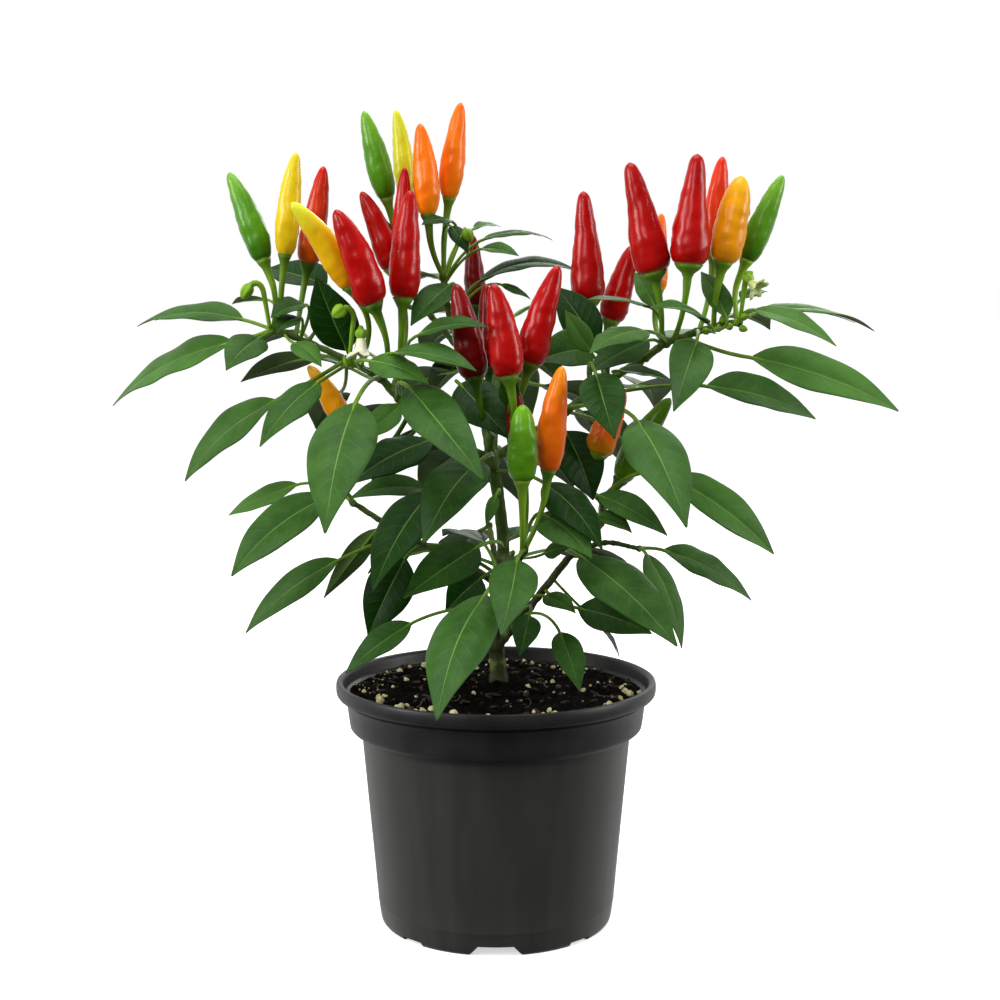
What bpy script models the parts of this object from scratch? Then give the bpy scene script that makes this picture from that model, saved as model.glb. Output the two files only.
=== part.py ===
"""Potted chilli pepper plant: a nursery pot, its soil, one branching stem, thirty chillies and
twenty-seven leaves. The plan lists are in millimetres and are turned into metres where a mesh is
made; +Z is up, the pot stands on z = 0 and its axis is the Z axis. The front of the plant is -Y."""

import math

import bpy
from mathutils import Matrix, Vector

MM = 0.001
GAP = 0.35  # between two pieces that touch, mm

# Pot, mm
POT_HEIGHT = 100.0
RIM_RADIUS = 65.0
FOOT_RADIUS = 47.0
WALL = 1.6
FLOOR_UNDER, FLOOR_OVER = 4.2, 6.2
POT_SIDES = 32
NOTCH_TOP, NOTCH_BOTTOM, NOTCH_HEIGHT = 14.0, 21.0, 4.0
SLIT_WIDTH, SLIT_HEIGHT = 11.0, 1.8
DRAIN_RADIUS, DRAIN_CIRCLE, DRAINS = 4.5, 26.0, 6

# Soil and trunk socket, mm
SOIL_EDGE, SOIL_MIDDLE = 96.0, 97.5
TRUNK_RADIUS, TRUNK_FOOT, TRUNK_AT = 4.2, 78.0, (1.0, 9.0)

# Stem: one tube per branch, each a run of (x, y, z, radius), mm
BRANCHES = {
    "trunk": [
        (1, 9, 78, 4.2), (1, 9, 101, 4.2), (0, 8, 115, 3.4), (3, 6, 148, 3.1), (1, 4, 173, 3.0), (-2, 2, 189, 3.1),
    ],
    "left": [
        (-2, 2, 189, 2.5), (-13, 0, 194, 2.3), (-26, 0, 202, 2.1), (-39, 0, 214, 2.0), (-46, 0, 222, 2.0),
    ],
    "far_left": [(-46, 0, 222, 1.8), (-60, 2, 229, 1.7), (-75, 2, 236, 1.6), (-89, 1, 241, 1.7)],
    "top": [
        (-2, 2, 189, 2.4), (-6, 6, 210, 2.1), (-14, 8, 232, 1.9), (-20, 8, 252, 1.7), (-21, 8, 262, 1.8),
    ],
    "top_left": [(-14, 8, 232, 1.6), (-26, 13, 246, 1.5), (-37, 17, 258, 1.6)],
    "middle": [(-2, 2, 189, 2.2), (-2, -4, 198, 2.0), (1, -10, 204, 1.9), (3, -14, 206, 1.8)],
    "right": [
        (-2, 2, 189, 2.5), (10, 4, 196, 2.3), (28, 8, 208, 2.1), (45, 8, 220, 2.0), (60, 4, 230, 2.0),
        (68, 2, 236, 2.0),
    ],
    "far_right": [(68, 2, 236, 1.8), (80, 2, 240, 1.7), (90, 2, 243, 1.6), (97, 2, 244, 1.7)],
    "back": [(-2, 2, 189, 2.3), (0, 20, 208, 2.0), (0, 34, 224, 1.8), (2, 46, 237, 1.7)],
    "low_right": [
        (1, 7, 112, 2.4), (14, 7, 128, 2.0), (31, 6, 150, 1.8), (43, 10, 162, 1.6), (43, 11, 172, 1.5),
    ],
    "low_far_right": [(31, 6, 150, 1.5), (44, 3, 155, 1.3), (58, 0, 153, 1.2)],
    "low_front": [(3, 6, 148, 2.0), (5, -10, 150, 1.7), (9, -26, 153, 1.6), (11, -36, 158, 1.7)],
    "low_left": [(2, 7, 137, 2.1), (-18, 8, 148, 1.8), (-40, 9, 159, 1.5), (-58, 5, 171, 1.4)],
    "low_back": [(2, 7, 128, 2.0), (0, 28, 142, 1.7), (-3, 48, 156, 1.5)],
}

# Chillies: (foot on the stem, calyx end of the pod, tip of the pod, widest across), mm
CHILLIES = [
    ((-89, 1, 241), (-92, 0, 268), (-106, 5, 303), 11.0),
    ((-86, 1, 240), (-83, -5, 270), (-78, -5, 310), 10.2),
    ((-80, 2, 238), (-76, 12, 267), (-69, 12, 306), 10.5),
    ((-55, 1, 227), (-57, -14, 258), (-78, -22, 290), 11.3),
    ((-46, 0, 222), (-47, -22, 251), (-61, -26, 287), 13.3),
    ((-42, 0, 217), (-42, 12, 265), (-54, 12, 296), 10.2),
    ((-39, 0, 214), (-36, -14, 253), (-33, -14, 295), 12.6),
    ((-30, 14, 250), (-37, 1, 263), (-36, 3, 305), 8.8),
    ((-37, 17, 258), (-44, 16, 293), (-53, 15, 328), 10.4),
    ((-37, 17, 258), (-37, 31, 294), (-41, 31, 330), 9.2),
    ((-21, 8, 262), (-27, 4, 286), (-30, 4, 322), 11.0),
    ((-21, 8, 261), (-19, 12, 293), (-14, 12, 331), 10.2),
    ((0, 34, 224), (-8, 44, 250), (-10, 45, 280), 9.2),
    ((-2, -6, 200), (-8, -30, 223), (-15, -30, 259), 12.0),
    ((-3, 2, 194), (-3, -7, 226), (-4, -6, 259), 9.6),
    ((3, -14, 206), (5, -40, 224), (-1, -40, 259), 12.8),
    ((3, -14, 206), (13, -22, 228), (24, -22, 266), 12.4),
    ((38, 8, 215), (37, 10, 252), (35, 10, 296), 13.2),
    ((45, 8, 220), (47, 24, 244), (56, 24, 275), 11.6),
    ((66, 2, 234), (62, -8, 263), (52, -8, 306), 14.2),
    ((69, 2, 236), (71, 26, 256), (69, 30, 288), 9.2),
    ((71, 2, 237), (75, -12, 266), (78, -12, 309), 14.4),
    ((81, 2, 240), (88, 14, 271), (91, 14, 310), 10.6),
    ((87, 2, 242), (89, -7, 267), (96, -7, 301), 13.4),
    ((97, 2, 244), (100, 6, 268), (114, 6, 302), 10.6),
    ((10, -32, 156), (10, -46, 185), (10, -46, 214), 12.0),
    ((11, -36, 158), (20, -36, 188), (25, -38, 228), 11.8),
    ((-34, 0, 209), (-62, 21, 199), (-77, 20, 226), 10.0),
    ((43, 11, 171), (41, 2, 191), (51, 0, 217), 12.0),
    ((43, 10, 164), (51, 16, 179), (71, 14, 213), 12.0),
]

# Leaves: (foot on the stem, base of the blade, tip, width, arch, way the face looks), mm
LEAVES = [
    ((-89, 1, 241), (-102, 8, 245), (-148, 25, 242), 17, 9, (0, -1, 2)),
    ((-89, 1, 241), (-106, 5, 236), (-160, 30, 209), 22, 10, (-1, -2, 3)),
    ((-88, 1, 241), (-93, -6, 238), (-104, -24, 226), 16, 4, (-1, -4, 1)),
    ((-60, 2, 229), (-88, -2, 213), (-126, 5, 180), 22, 8, (-2, -3, 4)),
    ((-58, 2, 228), (-69, -18, 221), (-89, -42, 198), 16, 6, (-1, -3, 2)),
    ((-46, 0, 222), (-52, -52, 215), (-59, -100, 173), 25, 10, (-1, -5, 3)),
    ((-58, 5, 171), (-66, -12, 176), (-104, -20, 145), 22, 8, (-2, -4, 4)),
    ((-38, 9, 158), (-64, 2, 148), (-102, 2, 118), 17, 7, (-1, -3, 4)),
    ((0, 3, 180), (-25, -28, 179), (-45, -66, 147), 22, 8, (-2, -5, 3)),
    ((-39, 0, 214), (-33, -36, 220), (-4, -80, 189), 20, 9, (0, -5, 4)),
    ((-2, 2, 189), (-6, -36, 192), (-26, -78, 166), 22, 8, (-1, -5, 4)),
    ((11, -36, 158), (8, -50, 156), (2, -90, 135), 18, 7, (0, -5, 4)),
    ((2, 7, 140), (-4, -58, 144), (-20, -117, 111), 23, 10, (-1, -5, 5)),
    ((31, 6, 150), (33, -30, 154), (66, -74, 128), 23, 8, (1, -4, 4)),
    ((58, 0, 153), (60, -8, 152), (72, -34, 119), 15, 6, (3, -4, 2)),
    ((58, 0, 153), (68, 2, 152), (105, 10, 130), 16, 6, (2, -3, 4)),
    ((97, 2, 244), (107, 10, 248), (156, 25, 240), 15, 9, (0, -1, 4)),
    ((75, 2, 238), (102, -2, 230), (160, -5, 209), 22, 10, (1, -3, 3)),
    ((34, 8, 212), (86, 13, 218), (132, 22, 204), 20, 7, (0, -3, 4)),
    ((80, 2, 240), (77, -26, 237), (66, -52, 212), 17, 6, (1, -5, 3)),
    ((68, 2, 236), (58, -22, 241), (35, -46, 233), 16, 6, (-1, -3, 4)),
    ((30, 8, 209), (53, -44, 208), (67, -92, 174), 23, 9, (1, -5, 3)),
    ((43, 11, 172), (70, -8, 183), (111, -8, 152), 20, 8, (3, -4, 3)),
    ((2, 46, 237), (4, 62, 226), (16, 117, 196), 23, 10, (0, 3, 4)),
    ((-26, 0, 202), (-44, 48, 208), (-84, 90, 178), 22, 9, (-2, 3, 4)),
    ((45, 8, 220), (60, 46, 217), (72, 98, 204), 22, 9, (1, 3, 4)),
    ((-3, 48, 156), (-8, 60, 152), (-26, 108, 122), 22, 9, (-1, 3, 4)),
]

# Pod outline from the calyx to the tip: (share of the length, share of the greatest radius)
POD = [
    (0.0, 0.6), (0.06, 0.87), (0.17, 1.0), (0.34, 0.95), (0.55, 0.8), (0.75, 0.62), (0.9, 0.4), (0.975, 0.2),
    (1.0, 0.05),
]
CALYX_LENGTH = 4.0
# Blade outline from the base to the tip: (share of the length, share of the width)
BLADE = [
    (0.0, 0.09), (0.07, 0.45), (0.2, 0.87), (0.38, 1.0), (0.56, 0.9), (0.73, 0.62), (0.88, 0.28), (1.0, 0.04),
]
BLADE_THICK, PETIOLE_THICK, PETIOLE_WIDE = 0.8, 1.3, 1.6
FOLD = 0.2  # how far each edge of a blade stands above the midrib, share of the half width

BLACK_PLASTIC = (0.035, 0.036, 0.035)
PEAT = (0.02, 0.015, 0.01)
STEM_GREEN = (0.09, 0.16, 0.03)
LEAF_GREEN = (0.045, 0.13, 0.02)
RED, DARK_RED = (0.55, 0.006, 0.004), (0.3, 0.004, 0.003)
ORANGE, YELLOW, GREEN = (0.85, 0.16, 0.005), (0.85, 0.45, 0.01), (0.07, 0.25, 0.015)
POD_COLOURS = [
    GREEN, YELLOW, RED, YELLOW, RED, RED, RED, RED, GREEN, YELLOW,
    ORANGE, ORANGE, DARK_RED, DARK_RED, RED, RED, RED, RED, RED, RED,
    ORANGE, RED, RED, YELLOW, GREEN, GREEN, ORANGE, YELLOW, ORANGE, GREEN,
]


def material(name, colour, roughness):
    made = bpy.data.materials.get(name) or bpy.data.materials.new(name)
    made.use_nodes = True
    shader = made.node_tree.nodes["Principled BSDF"]
    shader.inputs["Base Color"].default_value = (*colour, 1)
    shader.inputs["Roughness"].default_value = roughness
    return made


def collection(name):
    made = bpy.data.collections.new(name)
    bpy.context.scene.collection.children.link(made)
    return made


def add(name, data, where, colour=None, roughness=0.5):
    """One named object; a round piece is shaded smooth and has a material of its own."""
    made = bpy.data.objects.new(name, data)
    where.objects.link(made)
    if colour:
        data.materials.append(material(f"{name}_surface", colour, roughness))
    return made


def mesh_of(obj):
    """A curve or a modified object turned into a plain mesh, its close points made one."""
    graph = bpy.context.evaluated_depsgraph_get()
    made = bpy.data.meshes.new_from_object(obj.evaluated_get(graph))
    made.transform(obj.matrix_world)
    old, name, where = obj.data, obj.name, obj.users_collection[0]
    bpy.data.objects.remove(obj)
    if isinstance(old, bpy.types.Curve):
        bpy.data.curves.remove(old)
    solid = bpy.data.objects.new(name, made)
    where.objects.link(solid)
    return solid


def smooth(obj):
    for face in obj.data.polygons:
        face.use_smooth = True


def tube(name, points, where, colour=None, roughness=0.5):
    """A round tube through (x, y, z, radius) points in millimetres, its ends filled."""
    curve = bpy.data.curves.new(name, "CURVE")
    curve.dimensions = "3D"
    curve.bevel_depth = MM
    curve.bevel_resolution = 2
    curve.use_fill_caps = True
    spline = curve.splines.new("POLY")
    spline.points.add(len(points) - 1)
    for point, (x, y, z, radius) in zip(spline.points, points):
        point.co = (x * MM, y * MM, z * MM, 1)
        point.radius = radius
    return add(name, curve, where, colour, roughness)


def rounded_end(run):
    """A branch with its far end drawn in, as a bud closes a shoot."""
    end, before = Vector(run[-1][:3]), Vector(run[-2][:3])
    along, radius = (end - before).normalized(), run[-1][3]
    return [*run, (*(end + along * radius * 0.75), radius * 0.66)]


def turned(name, outline, where, colour, roughness):
    """A solid of revolution about Z from (radius, height) points in millimetres."""
    mesh = bpy.data.meshes.new(name)
    verts = [(r * MM, 0, z * MM) for r, z in outline]
    mesh.from_pydata(verts, [(i, i + 1) for i in range(len(verts) - 1)], [])
    made = add(name, mesh, where, colour, roughness)
    screw = made.modifiers.new("turn", "SCREW")
    screw.steps = screw.render_steps = POT_SIDES
    screw.use_merge_vertices = True
    screw.merge_threshold = 0.00001
    return made


def boolean(target, cutter, operation):
    cut = target.modifiers.new(f"{operation.lower()}_{cutter.name}", "BOOLEAN")
    cut.operation = operation
    cut.solver = "EXACT"
    cut.object = cutter


def as_cutter(obj):
    obj.hide_render = True
    obj.display_type = "WIRE"


def prism(name, corners, depth, turn, reach, where):
    """A cutter: a shape drawn across a radius, pushed through the foot at one heading."""
    near = [(x * MM, (reach - depth) * MM, z * MM) for x, z in corners]
    far = [(x * MM, (reach + depth) * MM, z * MM) for x, z in corners]
    n = len(corners)
    sides = [(i, i + n, (i + 1) % n + n, (i + 1) % n) for i in range(n)]
    mesh = bpy.data.meshes.new(name)
    mesh.from_pydata(near + far, [], [tuple(range(n)), tuple(range(2 * n - 1, n - 1, -1)), *sides])
    mesh.transform(Matrix.Rotation(math.radians(turn), 4, "Z"))
    made = add(name, mesh, where)
    as_cutter(made)
    return made


def nearest_on_stem(point):
    """The point of the branches' centre lines that is nearest to this one."""
    best = None
    for run in BRANCHES.values():
        for a, b in zip(run, run[1:]):
            start, along = Vector(a[:3]), Vector(b[:3]) - Vector(a[:3])
            share = min(1, max(0, (point - start).dot(along) / along.length_squared))
            here = start + along * share
            if best is None or (here - point).length < (best - point).length:
                best = here
    return best


def stem_clearance(point):
    """How far a point is outside the stem's surface, mm."""
    least = 1e9
    for run in BRANCHES.values():
        for a, b in zip(run, run[1:]):
            start, along = Vector(a[:3]), Vector(b[:3]) - Vector(a[:3])
            share = min(1, max(0, (point - start).dot(along) / along.length_squared))
            radius = a[3] + (b[3] - a[3]) * share
            least = min(least, (start + along * share - point).length - radius)
    return least


def stalk(foot, end, heading, reach):
    """A smooth line from the stem's surface to an end that it meets along a heading. It starts at
    the first place where a stalk of this reach across clears the stem."""
    root = nearest_on_stem(Vector(foot))
    bend = end - heading * (0.45 * (end - root).length)
    steps = 200
    shares = [i / steps for i in range(steps + 1)]
    line = [root.lerp(bend, s).lerp(bend.lerp(end, s), s) for s in shares]
    first = 0
    for i in range(steps):
        along = (line[i + 1] - line[i]).normalized()
        side = along.orthogonal().normalized()
        ring = [line[i] + Matrix.Rotation(math.radians(a), 3, along) @ side * reach for a in range(0, 360, 30)]
        if min(stem_clearance(p) for p in ring) >= GAP:
            first = i
            break
    kept = line[first:]
    return [kept[round(share * (len(kept) - 1))] for share in (0, 0.33, 0.66)]


def chilli(number, row, where):
    foot, base, tip = (Vector(v) for v in row[:3])
    radius = row[3] / 2
    along = (tip - base).normalized()
    neck = base - along * CALYX_LENGTH
    bow = Vector((0, 0, 1)) - along * along.z
    points = [(*p, r) for p, r in zip(stalk(foot, neck, along, 0.8), (0.8, 0.95, 1.15))]
    points.append((*neck, 1.6))
    points.append((*(base - along * 1.6), radius * 0.6))
    for share, wide in POD:
        here = base.lerp(tip, share) + bow * (math.sin(share * math.pi) * 2.0)
        points.append((*here, radius * wide))
    return tube(f"chilli_{number:02d}", points, where, POD_COLOURS[number - 1], 0.25)


def leaf(number, row, where):
    foot, base, tip = (Vector(v) for v in row[:3])
    width, arch, facing = row[3], row[4], Vector(row[5]).normalized()
    chord = (tip - base).normalized()
    rise = (facing - chord * facing.dot(chord)).normalized()
    crown = (base + tip) / 2 + rise * arch
    start = (crown - base).normalized()

    centres, tangents, halves, thicks = [], [], [], []
    for share, wide in BLADE:
        centres.append(base.lerp(crown, share).lerp(crown.lerp(tip, share), share))
        tangents.append((crown - base).lerp(tip - crown, share).normalized())
        halves.append(max(width * wide, PETIOLE_WIDE if share < 0.5 else 0.6) / 2)
        thicks.append(PETIOLE_THICK if share == 0 else BLADE_THICK)
    stem_side = stalk(foot, base, start, PETIOLE_WIDE / 2)
    sides = [t.cross(facing).normalized() for t in tangents]
    for i in range(len(stem_side) - 1, -1, -1):
        tangent = (centres[0] - stem_side[i]).normalized()
        side = sides[0] - tangent * sides[0].dot(tangent)
        centres.insert(0, stem_side[i])
        tangents.insert(0, tangent)
        sides.insert(0, side.normalized())
        halves.insert(0, PETIOLE_WIDE / 2)
        thicks.insert(0, PETIOLE_THICK)

    verts, faces = [], []
    for centre, tangent, side, half, thick in zip(centres, tangents, sides, halves, thicks):
        up = side.cross(tangent).normalized()
        lift = up * (half * FOLD if half > PETIOLE_WIDE else 0)
        for x, z in ((-1, 1), (0, 1), (1, 1), (1, -1), (0, -1), (-1, -1)):
            edge = 0.7 if x else 1.0
            verts.append((centre + side * (half * x) + lift * abs(x) + up * (thick / 2 * z * edge)) * MM)
    for ring in range(len(centres) - 1):
        a, b = ring * 6, ring * 6 + 6
        faces += [(a + i, a + (i + 1) % 6, b + (i + 1) % 6, b + i) for i in range(6)]
    last = len(verts) - 6
    faces += [(5, 4, 1, 0), (4, 3, 2, 1)]
    faces += [(last, last + 1, last + 4, last + 5), (last + 1, last + 2, last + 3, last + 4)]
    mesh = bpy.data.meshes.new(f"leaf_{number:02d}")
    mesh.from_pydata(verts, [], faces)
    made = add(f"leaf_{number:02d}", mesh, where, LEAF_GREEN, 0.5)
    smooth(made)
    return made


for old in list(bpy.data.objects):
    bpy.data.objects.remove(old)
plant = collection("potted_chilli_pepper_plant")
cutters = collection("cutters")

# Pot: from the middle of the floor up the inside, over the lip, down the outer side and under the foot
outer = [
    (62.7, 99.3), (63.9, POT_HEIGHT), (64.7, 99.2), (RIM_RADIUS, 97.0), (64.8, 94.0), (64.0, 92.2),
    (60.9, 91.8), (60.5, 91.0), (59.6, 82.6), (58.9, 80.6), (55.3, 78.8), (54.6, 77.4),
    (FOOT_RADIUS + 0.6, 3.0), (FOOT_RADIUS - 0.1, 0.8), (FOOT_RADIUS - 0.9, 0.0), (43.8, 0.0),
    (43.4, FLOOR_UNDER), (0.0, FLOOR_UNDER),
]
inner = [
    (0.0, FLOOR_OVER), (44.2, FLOOR_OVER), (46.0, 8.4), (54.6 - WALL, 77.6), (53.6, 80.2),
    (57.3, 82.2), (58.0, 84.0), (58.9, 91.4), (61.3, 93.6), (61.9, 98.2),
]
pot = turned("pot", inner + outer, plant, BLACK_PLASTIC, 0.45)
half_top, half_bottom = NOTCH_TOP / 2, NOTCH_BOTTOM / 2
notch = [
    (-half_bottom, -1), (half_bottom, -1), (half_bottom, 0), (half_top, NOTCH_HEIGHT),
    (-half_top, NOTCH_HEIGHT), (-half_bottom, 0),
]
half_slit = SLIT_WIDTH / 2
slit = [(-half_slit, -1), (half_slit, -1), (half_slit, SLIT_HEIGHT), (-half_slit, SLIT_HEIGHT)]
for i in range(4):
    boolean(pot, prism(f"notch_{i}", notch, 4.5, 90 * i, FOOT_RADIUS - 1, cutters), "DIFFERENCE")
    boolean(pot, prism(f"slit_{i}", slit, 4.5, 90 * i + 45, FOOT_RADIUS - 1, cutters), "DIFFERENCE")
for i in range(DRAINS):
    turn = 2 * math.pi * (i + 0.5) / DRAINS
    at = (DRAIN_CIRCLE * math.cos(turn), DRAIN_CIRCLE * math.sin(turn))
    ends = [(*at, FLOOR_UNDER - 1, DRAIN_RADIUS), (*at, FLOOR_OVER + 1, DRAIN_RADIUS)]
    hole = mesh_of(tube(f"drain_{i}", ends, cutters))
    as_cutter(hole)
    boolean(pot, hole, "DIFFERENCE")
smooth(pot)

# Soil: it follows the inside of the pot a gap away, and has a socket for the trunk
fill = [(x - GAP, z) for x, z in inner[2:8]]
soil_outline = [
    (0.0, SOIL_MIDDLE), (20.0, SOIL_MIDDLE - 0.3), (42.0, SOIL_EDGE + 0.5), (60.2, SOIL_EDGE - 0.3),
    (60.4, 93.6), *reversed(fill), (44.2 - GAP, FLOOR_OVER + GAP), (0.0, FLOOR_OVER + GAP),
]
soil = turned("soil", soil_outline, plant, PEAT, 0.95)
bore = TRUNK_RADIUS + 2 * GAP
socket = mesh_of(tube("socket", [(*TRUNK_AT, TRUNK_FOOT - GAP, bore), (*TRUNK_AT, 120, bore)], cutters))
as_cutter(socket)
boolean(soil, socket, "DIFFERENCE")
smooth(soil)

# Stem: every branch is a tube of its own, joined to the trunk into one body
stem = mesh_of(tube("stem", rounded_end(BRANCHES["trunk"]), plant))
stem.data.materials.append(material("stem_surface", STEM_GREEN, 0.6))
for name, run in BRANCHES.items():
    if name != "trunk":
        branch = mesh_of(tube(f"branch_{name}", rounded_end(run), cutters))
        as_cutter(branch)
        boolean(stem, branch, "UNION")
smooth(stem)

for number, row in enumerate(CHILLIES, 1):
    chilli(number, row, plant)
for number, row in enumerate(LEAVES, 1):
    leaf(number, row, plant)
print(len(plant.objects), "pieces")
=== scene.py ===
# %% [markdown]
# # A potted chilli pepper plant
# The plant stands in a black nursery pot: one short woody trunk forks again and again, each fork
# carries narrow pointed leaves, and the upright chillies ripen from green through yellow and orange
# to deep red. The solid model is loaded first and stays where it is. It says where every leaf and
# chilli goes, and each plain solid is then replaced by a detailed piece in the same place.
# %% Load the frame
import math
import random

import bpy
from mathutils import Matrix, Vector, noise


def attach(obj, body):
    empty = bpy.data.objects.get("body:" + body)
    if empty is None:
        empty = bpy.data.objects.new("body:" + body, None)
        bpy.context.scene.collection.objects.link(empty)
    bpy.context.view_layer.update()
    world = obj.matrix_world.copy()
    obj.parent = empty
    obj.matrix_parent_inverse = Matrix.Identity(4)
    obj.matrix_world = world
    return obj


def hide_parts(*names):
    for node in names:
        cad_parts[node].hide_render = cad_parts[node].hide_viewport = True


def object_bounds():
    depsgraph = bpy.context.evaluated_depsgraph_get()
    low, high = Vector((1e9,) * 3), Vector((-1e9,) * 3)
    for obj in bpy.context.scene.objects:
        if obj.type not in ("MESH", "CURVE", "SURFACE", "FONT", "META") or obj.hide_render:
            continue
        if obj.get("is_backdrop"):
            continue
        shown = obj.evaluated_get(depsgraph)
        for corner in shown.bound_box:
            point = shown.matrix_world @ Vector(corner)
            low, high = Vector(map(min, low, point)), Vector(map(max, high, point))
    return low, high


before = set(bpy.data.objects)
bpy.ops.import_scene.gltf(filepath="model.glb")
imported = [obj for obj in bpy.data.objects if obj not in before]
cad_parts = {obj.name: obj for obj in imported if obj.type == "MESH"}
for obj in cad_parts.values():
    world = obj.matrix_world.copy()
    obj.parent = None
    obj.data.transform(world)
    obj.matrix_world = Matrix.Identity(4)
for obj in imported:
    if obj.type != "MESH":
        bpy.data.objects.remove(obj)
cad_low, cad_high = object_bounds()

MM = 0.001
UP = Vector((0, 0, 1))
print(len(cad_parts), "solids, top at", round(cad_high.z / MM, 1), "mm")

# %% [markdown]
# ## The camera
# The plant is seen from the front, a little above the pot's rim, from 70 cm away. A camera could be
# aimed with a Track To constraint, but here it is simply put in its place and turned to a given angle.
# %% Camera
scene = bpy.context.scene
camera_data = bpy.data.cameras.new("camera")
camera_data.lens, camera_data.sensor_width = 63, 36  # mm
TILT = 6.7  # degrees down from level
camera = bpy.data.objects.new("camera", camera_data)
scene.collection.objects.link(camera)
camera.location = (0.0016, -0.700, 0.255)
camera.rotation_euler = (math.radians(90 - TILT), 0, 0)
scene.camera = camera
print("camera", tuple(round(c, 3) for c in camera.location))

# %% [markdown]
# ## Small helpers
# Everything is made at its real size in millimetres and turned into metres at the end. These
# helpers clear the selection, pick the active object, and give back what an operator has just made.
# %% Helpers for objects
def nothing():
    """Clears the selection."""
    for other in bpy.context.selected_objects:
        other.select_set(False)


def only(piece):
    """Selects one object and makes it the active one."""
    nothing()
    piece.select_set(True)
    bpy.context.view_layer.objects.active = piece
    return piece


def edit(piece):
    """Opens a mesh in edit mode with nothing of it selected."""
    only(piece)
    bpy.ops.object.mode_set(mode="EDIT")
    bpy.ops.mesh.select_all(action="DESELECT")


def everything():
    bpy.ops.mesh.select_all(action="SELECT")


def done():
    bpy.ops.object.mode_set(mode="OBJECT")


def applied(piece, kind, **settings):
    """Adds a modifier, sets it and applies it."""
    only(piece)
    made = piece.modifiers.new(kind.lower(), kind)
    for name, value in settings.items():
        setattr(made, name, value)
    bpy.ops.object.modifier_apply(modifier=made.name)
    return piece


def copy_of(template, name):
    """A copy with a mesh of its own."""
    made = bpy.data.objects.new(name, template.data.copy())
    made.data.name = name
    scene.collection.objects.link(made)
    return made


def joined(name, pieces):
    """Several objects made one; their materials come along."""
    nothing()
    for piece in pieces:
        piece.select_set(True)
    bpy.context.view_layer.objects.active = pieces[0]
    if len(pieces) > 1:
        bpy.ops.object.join()
    pieces[0].name = pieces[0].data.name = name
    return pieces[0]


def marked(piece, name, value):
    """Writes a number on every point of a mesh, for a material to read: one number, or a rule."""
    numbers = piece.data.attributes.get(name) or piece.data.attributes.new(name, "FLOAT", "POINT")
    rule = value if callable(value) else (lambda co: value)
    numbers.data.foreach_set("value", [rule(v.co) for v in piece.data.vertices])
    return piece


def smooth(piece):
    for face in piece.data.polygons:
        face.use_smooth = True
    return piece


def coated(piece, *finishes):
    """Puts these materials on a piece, in place of any that it has."""
    piece.data.materials.clear()
    for finish in finishes:
        piece.data.materials.append(finish)
    return piece


def length_of(line):
    return sum((b - a).length for a, b in zip(line, line[1:]))


def between(table, share):
    """Reads a smooth curve through (share, value) points."""
    rows = list(table)
    for i in range(len(rows) - 1):
        (a, va), (b, vb) = rows[i], rows[i + 1]
        if share <= b or i == len(rows) - 2:
            before, after = rows[max(0, i - 1)], rows[min(len(rows) - 1, i + 2)]
            t = min(1, max(0, (share - a) / (b - a)))
            rise_a = (vb - before[1]) / (b - before[0]) * (b - a)
            rise_b = (after[1] - va) / (after[0] - a) * (b - a)
            return (
                va * (2 * t**3 - 3 * t**2 + 1) + rise_a * (t**3 - 2 * t**2 + t)
                + vb * (3 * t**2 - 2 * t**3) + rise_b * (t**3 - t**2)
            )


print("helpers ready")

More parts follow.
